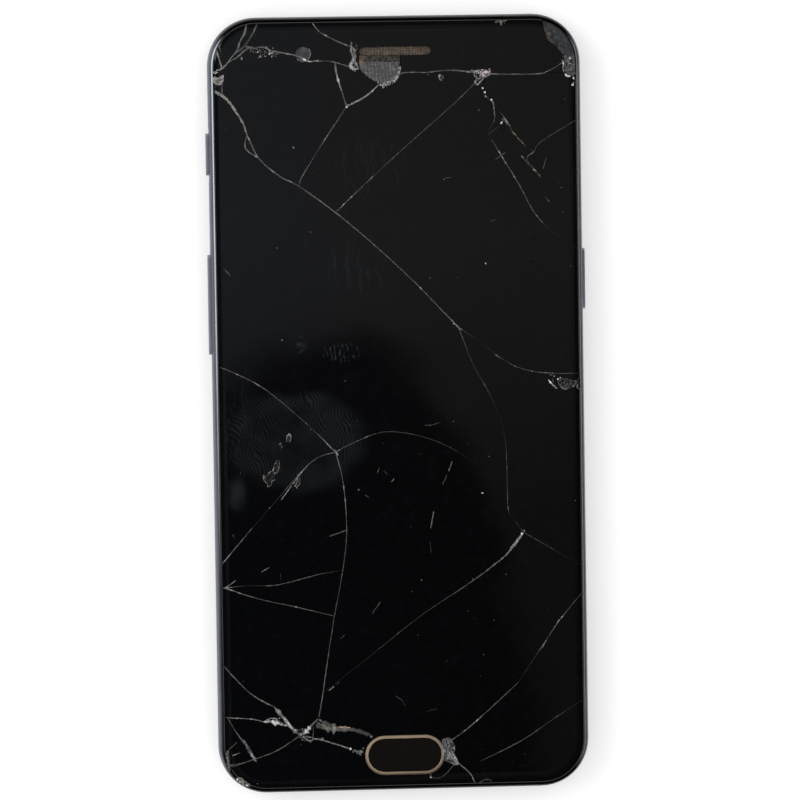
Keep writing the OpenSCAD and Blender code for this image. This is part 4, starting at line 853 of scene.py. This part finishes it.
# Short bright stretches, dashes and scratches: x, y to x, y in percent, width, shade, tint
STROKES = [
    (-54, -16.6, -60, -20.2, .24, .72, GREY), (-60.5, -20.5, -66.5, -24.3, .22, .8, GREY),
    (-83, -31.6, -100, -41, .22, .5, GREY), (-43, -8.3, -38, -11.2, .22, .5, GREY),
    (-96, 36.5, -92.5, 34.5, .4, .32, GREY), (-13, -17.7, -12, -16.3, .24, .42, GREY),
    (-9.5, -17, -7.5, -18.1, .22, .38, GREY), (-5.6, -20.2, -3.6, -19.3, .26, .46, GREY),
    (-20, -23.4, -17.8, -24.1, .2, .44, GREY), (-78, -43, -73.5, -41.8, .28, .55, GREY),
    (-93.5, -33, -92.5, -34, .3, .22, GREY), (-67.5, -43.5, -67.3, -45.2, .16, .22, GREY),
    (13.5, -5.5, 17.5, -5.5, .26, .48, GREY), (17.5, -5.5, 22.5, -4.7, .18, .34, GREY),
    (28.5, -15, 26.4, -17.6, .22, .56, GREY), (25.6, -18.5, 22.8, -21.2, .2, .4, GREY),
    (18, -28, 16, -32.5, .22, .58, GREY), (15.5, -36, 16.2, -39, .14, .24, GREY),
    (-12.5, -51.5, -17, -54.5, .22, .42, GREY), (-35, -61, -32.3, -60, .2, .3, GREY),
    (-42, -74.6, -38.8, -73.4, .26, .52, GREY), (-37.6, -73, -35.6, -72.2, .2, .34, GREY),
    (-5, -76.3, -2, -77.3, .2, .34, GREY), (-95.5, -91, -91.5, -90.3, .22, .5, GREY),
    (83, 64, 81, 60.8, .18, .34, GREY), (54.5, 63.5, 60.5, 65.5, .18, .34, GREY),
    (25.5, 58.4, 27, 59, .22, .34, GREY), (27, 59, 30.5, 59.1, .18, .28, GREY),
    (82, 53.6, 84.5, 52.3, .3, .46, ORANGE), (58.8, 74.3, 62.5, 72.3, .36, .42, GREY),
    (57.7, 72.8, 59, 73.5, .62, .86, PINK), (57.2, 72.3, 50.6, 70, .16, .24, GREY),
    (64, 71, 66.3, 69.7, .3, .62, YELLOW), (66.6, 69.5, 71.5, 67, .28, .52, ORANGE),
    (69, 64.5, 73.5, 62, .42, .4, BLUE), (75.4, 61, 77.4, 60, .3, .62, YELLOW),
    (77.8, 59.8, 80, 58.7, .24, .5, ORANGE), (76.4, 49.3, 80.5, 46.8, .28, .5, PINK),
    (54.5, 48, 51.5, 47.4, .2, .24, GREY), (52.8, 12.8, 56.2, 11.7, .3, .52, GREY),
    (12, -80.7, 18, -79.9, .2, .26, GREY), (-2, -77, .5, -79, .2, .32, GREY),
    (86.9, -57.2, 84.8, -58.7, .26, .56, GREY), (79.6, -62.4, 77, -64.6, .26, .5, GREY),
    (41, -99.8, 43.5, -99, .26, .4, GREY), (43.5, -99, 46.5, -98.9, .24, .4, GREY),
    (46.5, -98.9, 47.8, -99.5, .24, .44, GREY), (14, -98, 14, -96.4, .22, .44, GREY),
    (31.5, 20.6, 35, 19.2, .34, .62, ORANGE), (-36.8, -11.3, -34.5, -12.9, .5, .62, PINK),
    (60, -38.3, 66.5, -34.6, .5, .62, GREY), (46, -44.2, 53, -41.6, .3, .5, BROWN),
    (-92, 79.8, -86, 75.6, .3, .66, CREAM), (-99, -93.8, -88, -92.8, .2, .36, GREY),
]

# Wider strips of broken glass, rows as for the cracks
SHARDS = [
    (CREAM, [(-49.2, -83.4, .9, .34), (-45.1, -84.2, 1.2, .38), (-40.6, -84.5, 1.5, .42),
     (-36.2, -84.7, 1.2, .42), (-31.8, -84.8, .9, .4), (-27.4, -85.1, .75, .4), (-23, -85.8, .65, .4),
     (-19, -86.6, .4, .44)]),
    (CREAM, [(-47.6, -82, .3, .38), (-44.6, -82.9, .7, .34), (-40.6, -83.6, .6, .32),
     (-38, -83.9, .3, .34)]),
    (ORANGE, [(-40.6, -84.4, .2, .5), (-34.9, -84.2, .36, .68), (-30, -84.5, .22, .55)]),
    (GREY, [(-48.6, -82.8, .18, .55), (-45, -83.6, .18, .58), (-41.5, -83.5, .16, .45)]),
    (GREY, [(-71.9, -78.5, .24, .45), (-69.3, -80.1, .95, .56), (-67.1, -81.2, .55, .55),
     (-64.9, -82.7, .5, .68), (-63.2, -83.8, .6, .62), (-60.6, -85, .6, .6), (-58, -86, .6, .66)]),
    (GREY, [(-78.2, -82.3, .34, .66), (-74.7, -82.3, .5, .55), (-72, -82.6, .8, .66),
     (-69.8, -82.8, .6, .75), (-67.2, -83.3, .4, .5), (-64.5, -83.4, .6, .66)]),
    (GREY, [(-76.9, -82, .22, .45), (-74.2, -81.5, .22, .5), (-71.5, -81.5, .22, .55),
     (-69.7, -82.2, .26, .55)]),
    (GREY, [(-58, -86, .6, .66), (-56.2, -85.6, .6, .6), (-54.4, -85, .85, .74),
     (-52.1, -83.7, .45, .55), (-47.9, -81.8, .4, .55)]),
    (GREY, [(-56.4, -86.4, .4, .55), (-54.5, -87.3, .4, .5), (-52, -87.6, .3, .46),
     (-50.8, -86.9, .3, .44), (-53.5, -86.6, .34, .55), (-56.2, -86.4, .4, .55)]),
    (GREY, [(-28.6, -90.2, .3, .4), (-26.2, -90.8, .8, .4), (-23.3, -90.8, .6, .46)]),
    (BLUE, [(-91, -86.2, .3, .4), (-87, -89, .5, .44), (-84, -91.8, .6, .5), (-82.2, -92.8, .16, .4)]),
    (PINK, [(41.3, 86.9, .4, .44), (45.2, 86.5, .6, .68), (47.9, 86.2, .6, .66), (50.2, 86.4, .7, .72),
     (52.7, 86.3, .4, .55)]),
    (PINK, [(47.9, 86.2, .5, .68), (49.2, 85.4, .7, .76), (52.5, 85.6, .5, .72)]),
    (GREY, [(49.2, 85.3, .4, .66), (47.6, 84.2, .3, .6), (45.3, 83.2, .3, .68), (44.1, 83.8, .3, .55),
     (45.3, 84.7, .24, .55), (47.6, 84.6, .24, .55)]),
    (GREY, [(44, 86.5, .4, .5), (43.6, 85.7, .34, .45), (45.3, 84.9, .3, .5)]),
    (GREY, [(92.3, 89.4, .16, .6), (93, 88.3, .26, .85), (92.8, 87, .14, .4), (93.5, 85.9, .14, .36)]),
    (GREY, [(93.8, 85.6, .4, .85), (95.1, 85.1, .48, 1), (96.9, 84.9, .34, .66)]),
    (GREY, [(98.1, 84.3, .4, .85), (99.1, 84.6, .48, 1)]),
    (CREAM, [(-23.6, 94.8, .3, .45), (-24, 92.5, .4, .5), (-22.6, 90.4, .5, .6), (-24.6, 88.4, .8, .55),
     (-21.4, 87.4, .6, .6)]),
    (GREY, [(21.4, -88.4, .4, .4), (23.4, -90.2, .9, .36), (24.6, -92, 1.2, .4), (27.4, -93.6, .8, .5),
     (29.4, -94.8, .4, .6)]),
]

# The open corner of the glass, where the frame shows
CORNER_ARC = [(76.3 + 23.4 * math.cos(math.radians(t)), 88.8 + 11 * math.sin(math.radians(t)))
              for t in range(-10, 81, 10)]
SLATE = (0.93, 0.98, 1.08)

# Crumbled patches: outline in percent, cell in mm, lift in mm, shades, tint,
# depth under the face of the glass in mm
SHEETS = [
    ([(-100.2, 86), (-98.5, 86.2), (-97, 85.9), (-95.6, 86.5), (-94.4, 86.7), (-94.2, 85.3),
     (-95.3, 84.2), (-97.7, 84), (-99.2, 84.5), (-100.2, 85.1)], .4, .1, (.3, .86), CREAM, 0),
    ([(-100.2, 87.2), (-99.1, 87.7), (-97.4, 87.4), (-98.7, 86.9)], .3, .08, (.5, .9), CREAM, 0),
    ([(-19.8, 89.6), (-19.4, 87.6), (-15.5, 85.6), (-10, 84), (-8.5, 83), (-7, 83), (-3.5, 84),
     (-.5, 84.6), (1, 85.6), (2.4, 87.2), (2.6, 89.4)], .3, .05, (.36, .52), VIOLET, .12),
    ([(-20, 91), (-19.8, 89.6), (2.6, 89.4), (2.8, 91)], .3, .05, (.16, .36), BROWN, .12),
    ([(-20.4, 91.4), (-20, 88.8), (-17.6, 88.6), (-16, 90.8)], .3, .05, (.3, .56), ORANGE, .1),
    ([(-8.5, 83.2), (-7, 82.4), (-3.5, 83.2), (0, 83.8), (3, 86), (3.4, 88.4), (2, 88), (1, 86.4),
     (-2, 85), (-5, 84.4)], .22, .05, (.2, .8), GREY, .02),
    ([(54.4, 100), (55.6, 99.4), (57.4, 99), (59.4, 98.4), (60.8, 99), (62.2, 100)],
     .26, .06, (.14, .5), BROWN, .05),
    ([(81.5, 99.7), (83.2, 97), (85, 95.2), (90.5, 92.8), (92.9, 91.2), (92.9, 88.7), (94.2, 86.2),
     *CORNER_ARC], .45, .04, (.22, .33), SLATE, .5),
    ([(82.2, 98.4), (84.4, 96.9), (86.8, 96.3), (85.8, 95.2), (84.4, 94.4), (83, 96.2)],
     .25, .06, (.14, .46), BROWN, .1),
    ([(85, 95.4), (88, 94.4), (92.6, 92.6), (93.6, 91), (92.8, 90.6), (90, 92.4), (85, 94.4)],
     .25, .05, (.12, .4), GREY, .08),
    ([(93.2, 90.3), (94.1, 89), (93.8, 87.4), (93.5, 86), (95.8, 85.2), (98.1, 85), (99.6, 85.4),
     (99.6, 88.9), (99.2, 90.2)], .36, .07, (.1, .56), GREY, .2),
    ([(-98.8, -89.8), (-97.6, -89.8), (-97.4, -92), (-96.6, -95.2), (-98, -95.2), (-98.9, -92)],
     .2, .05, (.06, .56), CREAM, 0),
    ([(88, 5.4), (88.6, 6.1), (90.9, 6.3), (93.1, 6), (95.3, 5.6), (97.9, 5.3), (97.5, 4.6),
     (95.9, 3.7), (93.4, 3.4), (90.8, 3.4), (89, 4)], .26, .06, (.04, .42), GREY, 0),
    ([(82.4, 7.5), (84.8, 7.8), (84.9, 6.7), (83.6, 6.8)], .3, .05, (.2, .42), GREY, 0),
    ([(-93.6, -96.8), (-90.8, -96.8), (-88, -98.2), (-85.6, -99.2), (-88, -99.6), (-91.4, -98.4)],
     .2, .06, (.06, .66), CREAM, 0),
]

# A net of fine cracks at the right of the home button: outline in percent
HOME_WEB = [(20.6, -88.2), (24.5, -87.6), (27.8, -89.6), (27.6, -92), (29.6, -94.8), (26, -94.6),
    (21.6, -93.6)]

# Curls of the spall on the right edge and small rings along the cracks: points in percent
# with one width in mm and one shade for each curl
CURLS = [
    ([(82.4, 5.9), (84.2, 4.8)], .34, .9),
    ([(84.2, 4.8), (85.7, 4.1), (87.2, 3.4)], .3, .5),
    ([(84.9, 6.2), (85, 5.4), (85.3, 4.9)], .2, .36),
    ([(85.2, 6.6), (86.1, 6.8)], .3, .72),
    ([(87.7, 6.2), (87.8, 5.7)], .34, .95),
    ([(88.8, 6.2), (89.3, 6.4)], .28, .8),
    ([(87.9, 5.5), (88.3, 4.7), (89.2, 4), (90.8, 3.4), (92.1, 3.3), (93.5, 3.6)], .26, .42),
    ([(89.5, 4.9), (90.6, 4.3), (91.9, 4), (93, 3.9)], .2, .3),
    ([(90.5, 4.7), (90.8, 5.2), (91.7, 5.8), (92.4, 6.1)], .26, .46),
    ([(91, 5.3), (92.6, 5.1), (93.9, 4.4), (95.6, 3.9), (97, 4.2)], .26, .5),
    ([(92.8, 5.3), (93.9, 4.9), (95.2, 4.5)], .2, .34),
    ([(97, 4.2), (97.8, 4.9), (97.9, 5.3)], .22, .4),
    ([(94.3, 5.6), (95, 5.4)], .34, .5),
    ([(97, 5.4), (97.8, 5.4)], .3, .42),
    ([(89.3, 5.7), (90.2, 5.4)], .28, .36),
    ([(98.9, 4.5), (98.3, 3.8), (99.1, 3.2)], .24, .5),
    ([(25, 86), (24.2, 85.3), (25, 84.6), (25.8, 84.4)], .4, .5),
    ([(25.8, 85.8), (26.4, 85.2), (26.2, 84.8)], .5, .26),
    ([(-54, 90.4), (-51.4, 89.8), (-48.4, 90), (-46.8, 91), (-46.4, 92.2), (-47.6, 93.2)], .18, .42),
    ([(20.8, -88.4), (22.6, -88), (24.6, -89), (24, -90.6), (25.4, -91.6), (25, -93)], .16, .46),
    ([(26, -91.6), (28, -93), (29.4, -94.6)], .36, .62),
]

# Crushed glass: outline in percent, splinters per square mm, size in mm, shade, tint
CRUSHED = [
    ([(-98, 95.5), (-95.8, 95), (-95.3, 92), (-97, 92.5)], 8, .14, .4, PINK),
    ([(43.6, 87), (52.8, 87.2), (52, 85.4), (47, 84.6), (43.8, 85)], 11, .2, .66, PINK),
    ([(-82, 94), (-68, 94), (-65, 92.6), (-80, 92.3)], 6, .14, .5, PINK),
    ([(-24.2, 94.5), (-20.6, 94.5), (-21, 87), (-24, 87)], 9, .16, .5, CREAM),
    ([(-71.5, -79), (-67, -81), (-63.5, -83.5), (-66, -84), (-69.5, -81.5)], 12, .14, .5, GREY),
    ([(-77, -81.8), (-70, -81.2), (-66.5, -83.6), (-74, -83)], 7, .15, .66, GREY),
    ([(-61, -84.6), (-56, -84.2), (-53.5, -85.4), (-52, -88.3), (-57, -87.6)], 9, .16, .5, GREY),
    ([(-90.5, -86.5), (-86.5, -89), (-83, -92), (-85, -92.5), (-89, -88.5)], 10, .14, .44, GREY),
    ([(-30, -90), (-28, -90.4), (-23.2, -90.6), (-24.5, -92.2), (-28, -91.3)], 10, .14, .48, GREY),
    ([(21.5, -88), (24.5, -88), (28, -90), (27.5, -93), (28.8, -94.8), (22.5, -93.8)],
     7, .16, .46, GREY),
    ([(-98.6, -90), (-97.4, -90), (-96.4, -95.2), (-97.8, -95.2)], 10, .15, .5, CREAM),
    ([(-93.6, -97), (-90, -97.3), (-85.6, -99), (-88.4, -99.6)], 12, .17, .58, CREAM),
    ([(55, 100), (56, 98.9), (59, 98.4), (61, 98.9), (62, 100)], 12, .2, .48, BROWN),
    ([(93.6, 90), (94.6, 85.6), (99.4, 85.4), (99.4, 90)], 8, .16, .42, BROWN),
    ([(94, 90.4), (96, 86), (99, 86), (98.6, 91)], 5, .13, .6, GREY),
    ([(-76, 93), (-65, 92.9), (-65, 91), (-75, 90.8)], 5, .16, .44, BROWN),
    ([(-76, 92.8), (-65, 92.7), (-65, 91.2), (-75, 91)], 4, .13, .62, BLUE),
]

# Bright splinters standing alone: x, y, size in mm, shade, tint
SPARKLES = [
    (-99.1, 87.4, .4, .7, CREAM), (-75.2, 92.5, .44, 1, GREY), (-73.9, 91.3, .38, 1, GREY),
    (-71.7, 92, .34, .5, BROWN), (-71.7, 91.3, .3, .45, BROWN), (-68.8, 92, .4, 1, GREY),
    (-67.5, 92.1, .34, .95, GREY), (-68.8, 92.7, .34, .6, BLUE), (-66.9, 91.4, .4, .4, GREY),
    (-64.2, 92, .36, .5, GREY), (-77.8, 92.5, .24, .5, BROWN), (48.2, 82.2, .36, .85, BLUE),
    (49.4, 81.1, .38, .95, GREY), (49.8, 80.1, .34, .85, GREY), (53, 79.2, .34, .85, GREY),
    (98, 82.8, .42, .85, BLUE), (98.5, 83.3, .26, .65, BLUE), (96.6, 89.6, .34, .75, GREY),
    (96.8, 88.3, .32, .6, BROWN), (95.8, 88.9, .28, .75, GREY), (98, 87, .3, .6, BROWN),
    (95.4, 87, .3, .5, GREY), (-45.6, -87.1, .32, .6, GREY), (-30.2, -90, .42, .95, GREY),
    (-28.9, -90.8, .26, .6, GREY), (-73.1, -82.2, .36, .95, GREY), (-70, -82.8, .36, .9, GREY),
    (-54.8, -85.2, .5, .8, GREY), (-18.6, -86.9, .42, .75, GREY), (-57.4, -88.5, .22, .36, GREY),
    (-23.1, -89.9, .24, .5, CREAM), (-68.8, -80.2, .4, .75, CREAM), (-46.2, -79.5, .26, .3, BROWN),
    (-60.6, -84.7, .3, .6, GREY), (-90.6, -98, .26, .8, GREY), (-88, -99, .28, .85, GREY),
    (-82, -98.6, .2, .5, GREY), (-98.9, -90.6, .3, .85, GREY), (-98.4, -93.2, .28, .75, CREAM),
    (-98.6, -91.6, .22, .6, GREY), (-93, -97.4, .32, .8, CREAM), (-91.8, -98, .28, .65, GREY),
    (-87.5, -99, .34, .95, GREY), (-86.7, -98.6, .24, .7, GREY), (66.6, -34.4, .36, .95, GREY),
    (68, -33.6, .3, .6, GREY), (27.6, -93, .3, .75, GREY), (-8, 83.4, .3, .75, GREY),
    (-5.5, 83.6, .28, .7, GREY), (-42.5, 90.1, .24, .7, CREAM),
]

# Dust specks and bright nodes: x, y, radius in mm, shade
SPECKS = [
    (-56.5, 67.5, .3, .36), (-94, 72.5, .15, .3), (-92.5, 72.5, .15, .28), (-56.5, 63.5, .14, .22),
    (-81, 78, .14, .24), (-72.5, 76, .14, .22), (18, 86, .24, .4), (89.5, 57.5, .14, .36),
    (91, 56, .14, .36), (38, 92, .14, .22), (46, 76.5, .24, .36), (93.5, 79, .16, .36),
    (-48, 45.5, .22, .38), (-66.5, 41.5, .26, .42), (-50, 42.5, .14, .26), (-84, 48.5, .18, .22),
    (-64.5, 17.5, .22, .38), (-30, 6.5, .22, .46), (48.5, 36.5, .2, .66), (17.5, 33, .16, .5),
    (18.6, 33, .12, .3), (32.5, 33, .12, .26), (32, 31.5, .12, .26), (76, 37.5, .14, .3),
    (95.5, 35.5, .12, .36), (91.5, 49.5, .2, .3), (73, 44, .14, .26), (15.5, 29, .22, .6),
    (30.5, 21, .24, .9), (73.5, 8.1, .2, .55), (-41.5, -5, .14, .36), (-27.5, -5, .18, .44),
    (-24, -4, .18, .44), (-23.5, -22, .22, .62), (-9.5, -10, .12, .3), (-33.5, -22, .14, .26),
    (-88.5, -17, .24, .3), (45, -23.5, .24, .75), (49, -14, .2, .3), (96.5, -26, .2, .42),
    (4.5, -26.5, .12, .3), (5, -28.5, .12, .3), (5, -32, .14, .42), (10.5, -46, .16, .42),
    (5, -49, .16, .42), (39, -46, .24, .5), (57.5, -45, .2, .36), (68, -40, .14, .26),
    (35.5, -48.5, .12, .26), (38, -10.5, .12, .3), (52, -38.5, .16, .32), (10.5, -13, .12, .26),
    (29.5, -4.6, .24, .28), (-53, -68, .16, .22), (-89, -71.5, .16, .26), (-57.5, -88.5, .16, .3),
    (36, -54.5, .18, .44), (39.5, -56.5, .12, .36), (50.5, -57, .18, .42), (8, -60.5, .18, .26),
    (44.5, -66, .16, .3), (24, -67.5, .2, .3), (42.5, -71.5, .16, .26), (61, -72, .16, .26),
    (66.5, -92.5, .18, .52), (64.5, -95.5, .16, .3), (60, -94.5, .18, .22), (43, -91, .16, .2),
    (14, -98, .3, .66), (80.5, -54.5, .26, .2), (-27, 77.8, .34, .7), (-73, -26.3, .2, .5),
    (-49.5, -6, .16, .42), (-34, 50.5, .28, .5), (-42.5, 68, .14, .3), (64, 9.6, .18, .4),
]

# Dried residue left of the middle: outlines in percent
RESIDUE = [
    [(-70.8, -16.8), (-70.2, -15), (-68.6, -13.8), (-66.8, -13.9), (-67.2, -15.6), (-68.4, -17.2)],
    [(-75.8, -17.6), (-73.4, -17.6), (-71.8, -16.6), (-69.8, -17.2), (-69.6, -18.8), (-71.2, -19.2),
     (-71.4, -20.4), (-73.6, -20.8), (-74.6, -19.6), (-76, -19)],
    [(-63.4, -9.2), (-63, -7.6), (-61.4, -7), (-60.4, -8.2), (-61.6, -9.4)],
    [(-67.2, -9.6), (-65.8, -9.3), (-65, -10.2), (-66.4, -10.6)],
    [(-58.6, -20.8), (-57.8, -21.2), (-56, -20.2), (-56, -18.4), (-57.4, -17.9), (-57.2, -19.4)],
]


# Factors on the width and shade of each kind of mark
UPPER_CRACK, LOWER_CRACK = (0.88, 0.9), (0.72, 0.85)
STROKE = (0.8, 0.82)
SHARD = (1.3, 1.1)
LOWER = 30                   # cracks whose rows have a smaller mean y, in percent, are lower


def scaled(rows, factors):
    return [(x, y, width * factors[0], shade * factors[1]) for x, y, width, shade in rows]


def make_cracks():
    """The cracks, finer over the lower part of the glass, and the short marks."""
    lines = Shapes()
    for tint, rows in CRACKS:
        factors = LOWER_CRACK if sum(y for _, y, _, _ in rows) / len(rows) < LOWER else UPPER_CRACK
        lines.ribbon(crack_stations(scaled(rows, factors)), tint)
    lines.piece("crack_lines", broken_glass, "phone")
    marks = Shapes()
    for *ends, width, shade, tint in STROKES:
        marks.stroke(ends, width * STROKE[0], shade * STROKE[1], tint, lift=0.02, rough=0.4)
    marks.piece("crack_glints", broken_glass, "phone")


WEB_CELL = 0.5 * MM          # the size of the meshes in a net of fine cracks


def make_crushed():
    """Splinters, crumbled patches and crushed glass."""
    splinters = Shapes()
    for tint, rows in SHARDS:
        splinters.ribbon(crack_stations(scaled(rows, SHARD)), tint, jitter=0.05, rough=0.4,
                         node_chance=0.1, sides=0.12)
    for outline, cell, lift, shades, tint, depth in SHEETS:
        splinters.sheet([on_glass(*p) for p in outline], cell * MM, lift * MM, shades, tint,
                        lambda p: glass_height(p) - depth * MM, hatch=tint == VIOLET)
    splinters.web([on_glass(*p) for p in HOME_WEB], WEB_CELL, 0.12, (0.2, 0.6), GREY)
    for points, width, shade in CURLS:
        rows = [(x, y, width, shade) for x, y in points]
        splinters.ribbon(crack_stations(rows), rough=0.25, lift=0.03)
    for outline, density, size, shade, tint in CRUSHED:
        scatter(splinters, [on_glass(*p) for p in outline], density, size, shade, tint)
    for x, y, size, shade, tint in SPARKLES:
        p = on_glass(x, y)
        splinters.chip(p, glass_height(p), size * MM, shade, tint, tilt=0.2)
    splinters.piece("crushed_glass", broken_glass, "phone")


def scatter(shapes, corners, density, size, shade, tint):
    """Splinters strewn over an outline, so many for each square millimetre of its box."""
    low, high = corners_of(corners)
    area = (high.x - low.x) * (high.y - low.y) / MM / MM
    for _ in range(round(area * density)):
        p = Vector((random.uniform(low.x, high.x), random.uniform(low.y, high.y)))
        if inside(p, corners) and edge_distance(p) > 0.1 * MM:
            shapes.chip(p, glass_height(p), size * MM * random.uniform(0.6, 1.3), shade, tint)


FINE_DUST = 420              # grains too small to place one by one


def make_dust():
    """The larger specks, each in its place, and fine dust all over."""
    dust = Shapes()
    for x, y, radius, shade in SPECKS:
        p = on_glass(x, y)
        dust.chip(p, glass_height(p), radius * MM, shade, GREY, tilt=0.1)
    for _ in range(FINE_DUST):
        p = on_glass(random.uniform(-97, 97), random.uniform(-98, 98))
        if edge_distance(p) > 0.5 * MM:
            dust.chip(p, glass_height(p), random.uniform(0.03, 0.08) * MM,
                      random.uniform(0.12, 0.3), GREY, tilt=0.1)
    dust.piece("dust_specks", dirt, "phone")


def make_residue():
    """Dark dried patches with pale cracks."""
    marks = Shapes()
    for outline in RESIDUE:
        corners = [on_glass(*p) for p in outline]
        marks.sheet(corners, 0.3 * MM, 0.05 * MM, (0, 0.2), GREY, glass_height)
        marks.web(corners, WEB_CELL, 0.2, (0.3, 0.62), GREY)
    marks.piece("dried_residue", dirt, "phone")


# ------------------------------------------------------------------ polished rim of the housing
BODY_CORNER = 9.6            # corner radius of the housing seen from the front, in mm
RIM_STEP = 8 * MM            # longest stretch between two sections of the rim
CORNER_TURNS = 12            # sections to a corner, less one
# The rim's section as distance from the corner's centre and height over the back, in mm
RIM_SECTION = [(8.91, 6.64), (8.90, 6.71), (8.64, 6.84), (8.60, 6.83), (8.60, 6.64)]


def make_rim():
    """The bright cut edge that slopes from beside the glass to the housing's side."""
    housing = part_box("rear_housing")[1]
    centre = Vector((housing.x, housing.y)) - Vector((1, 1)) * BODY_CORNER * MM
    points = []
    for quarter, (sx, sy) in enumerate(((1, 1), (-1, 1), (-1, -1), (1, -1))):
        for step in range(CORNER_TURNS + 1):
            angle = math.radians(90 * quarter + 90 / CORNER_TURNS * step)
            points.append((Vector((sx * centre.x, sy * centre.y)),
                           Vector((math.cos(angle), math.sin(angle)))))
    rings = []
    for (foot, out), (next_foot, _) in sides_of(points):
        count = max(1, round((next_foot - foot).length / RIM_STEP))
        for i in range(count):
            at = foot.lerp(next_foot, i / count)
            rings.append([(at.x + out.x * r * MM, at.y + out.y * r * MM, z * MM)
                          for r, z in RIM_SECTION])
    rim = Shapes()
    rim.tube(rings, [GREY] * len(rings), closed=True)
    rim.piece("polished_rim", rim_metal, "phone")


make_rim()
make_cracks()
make_crushed()
make_dust()
make_residue()
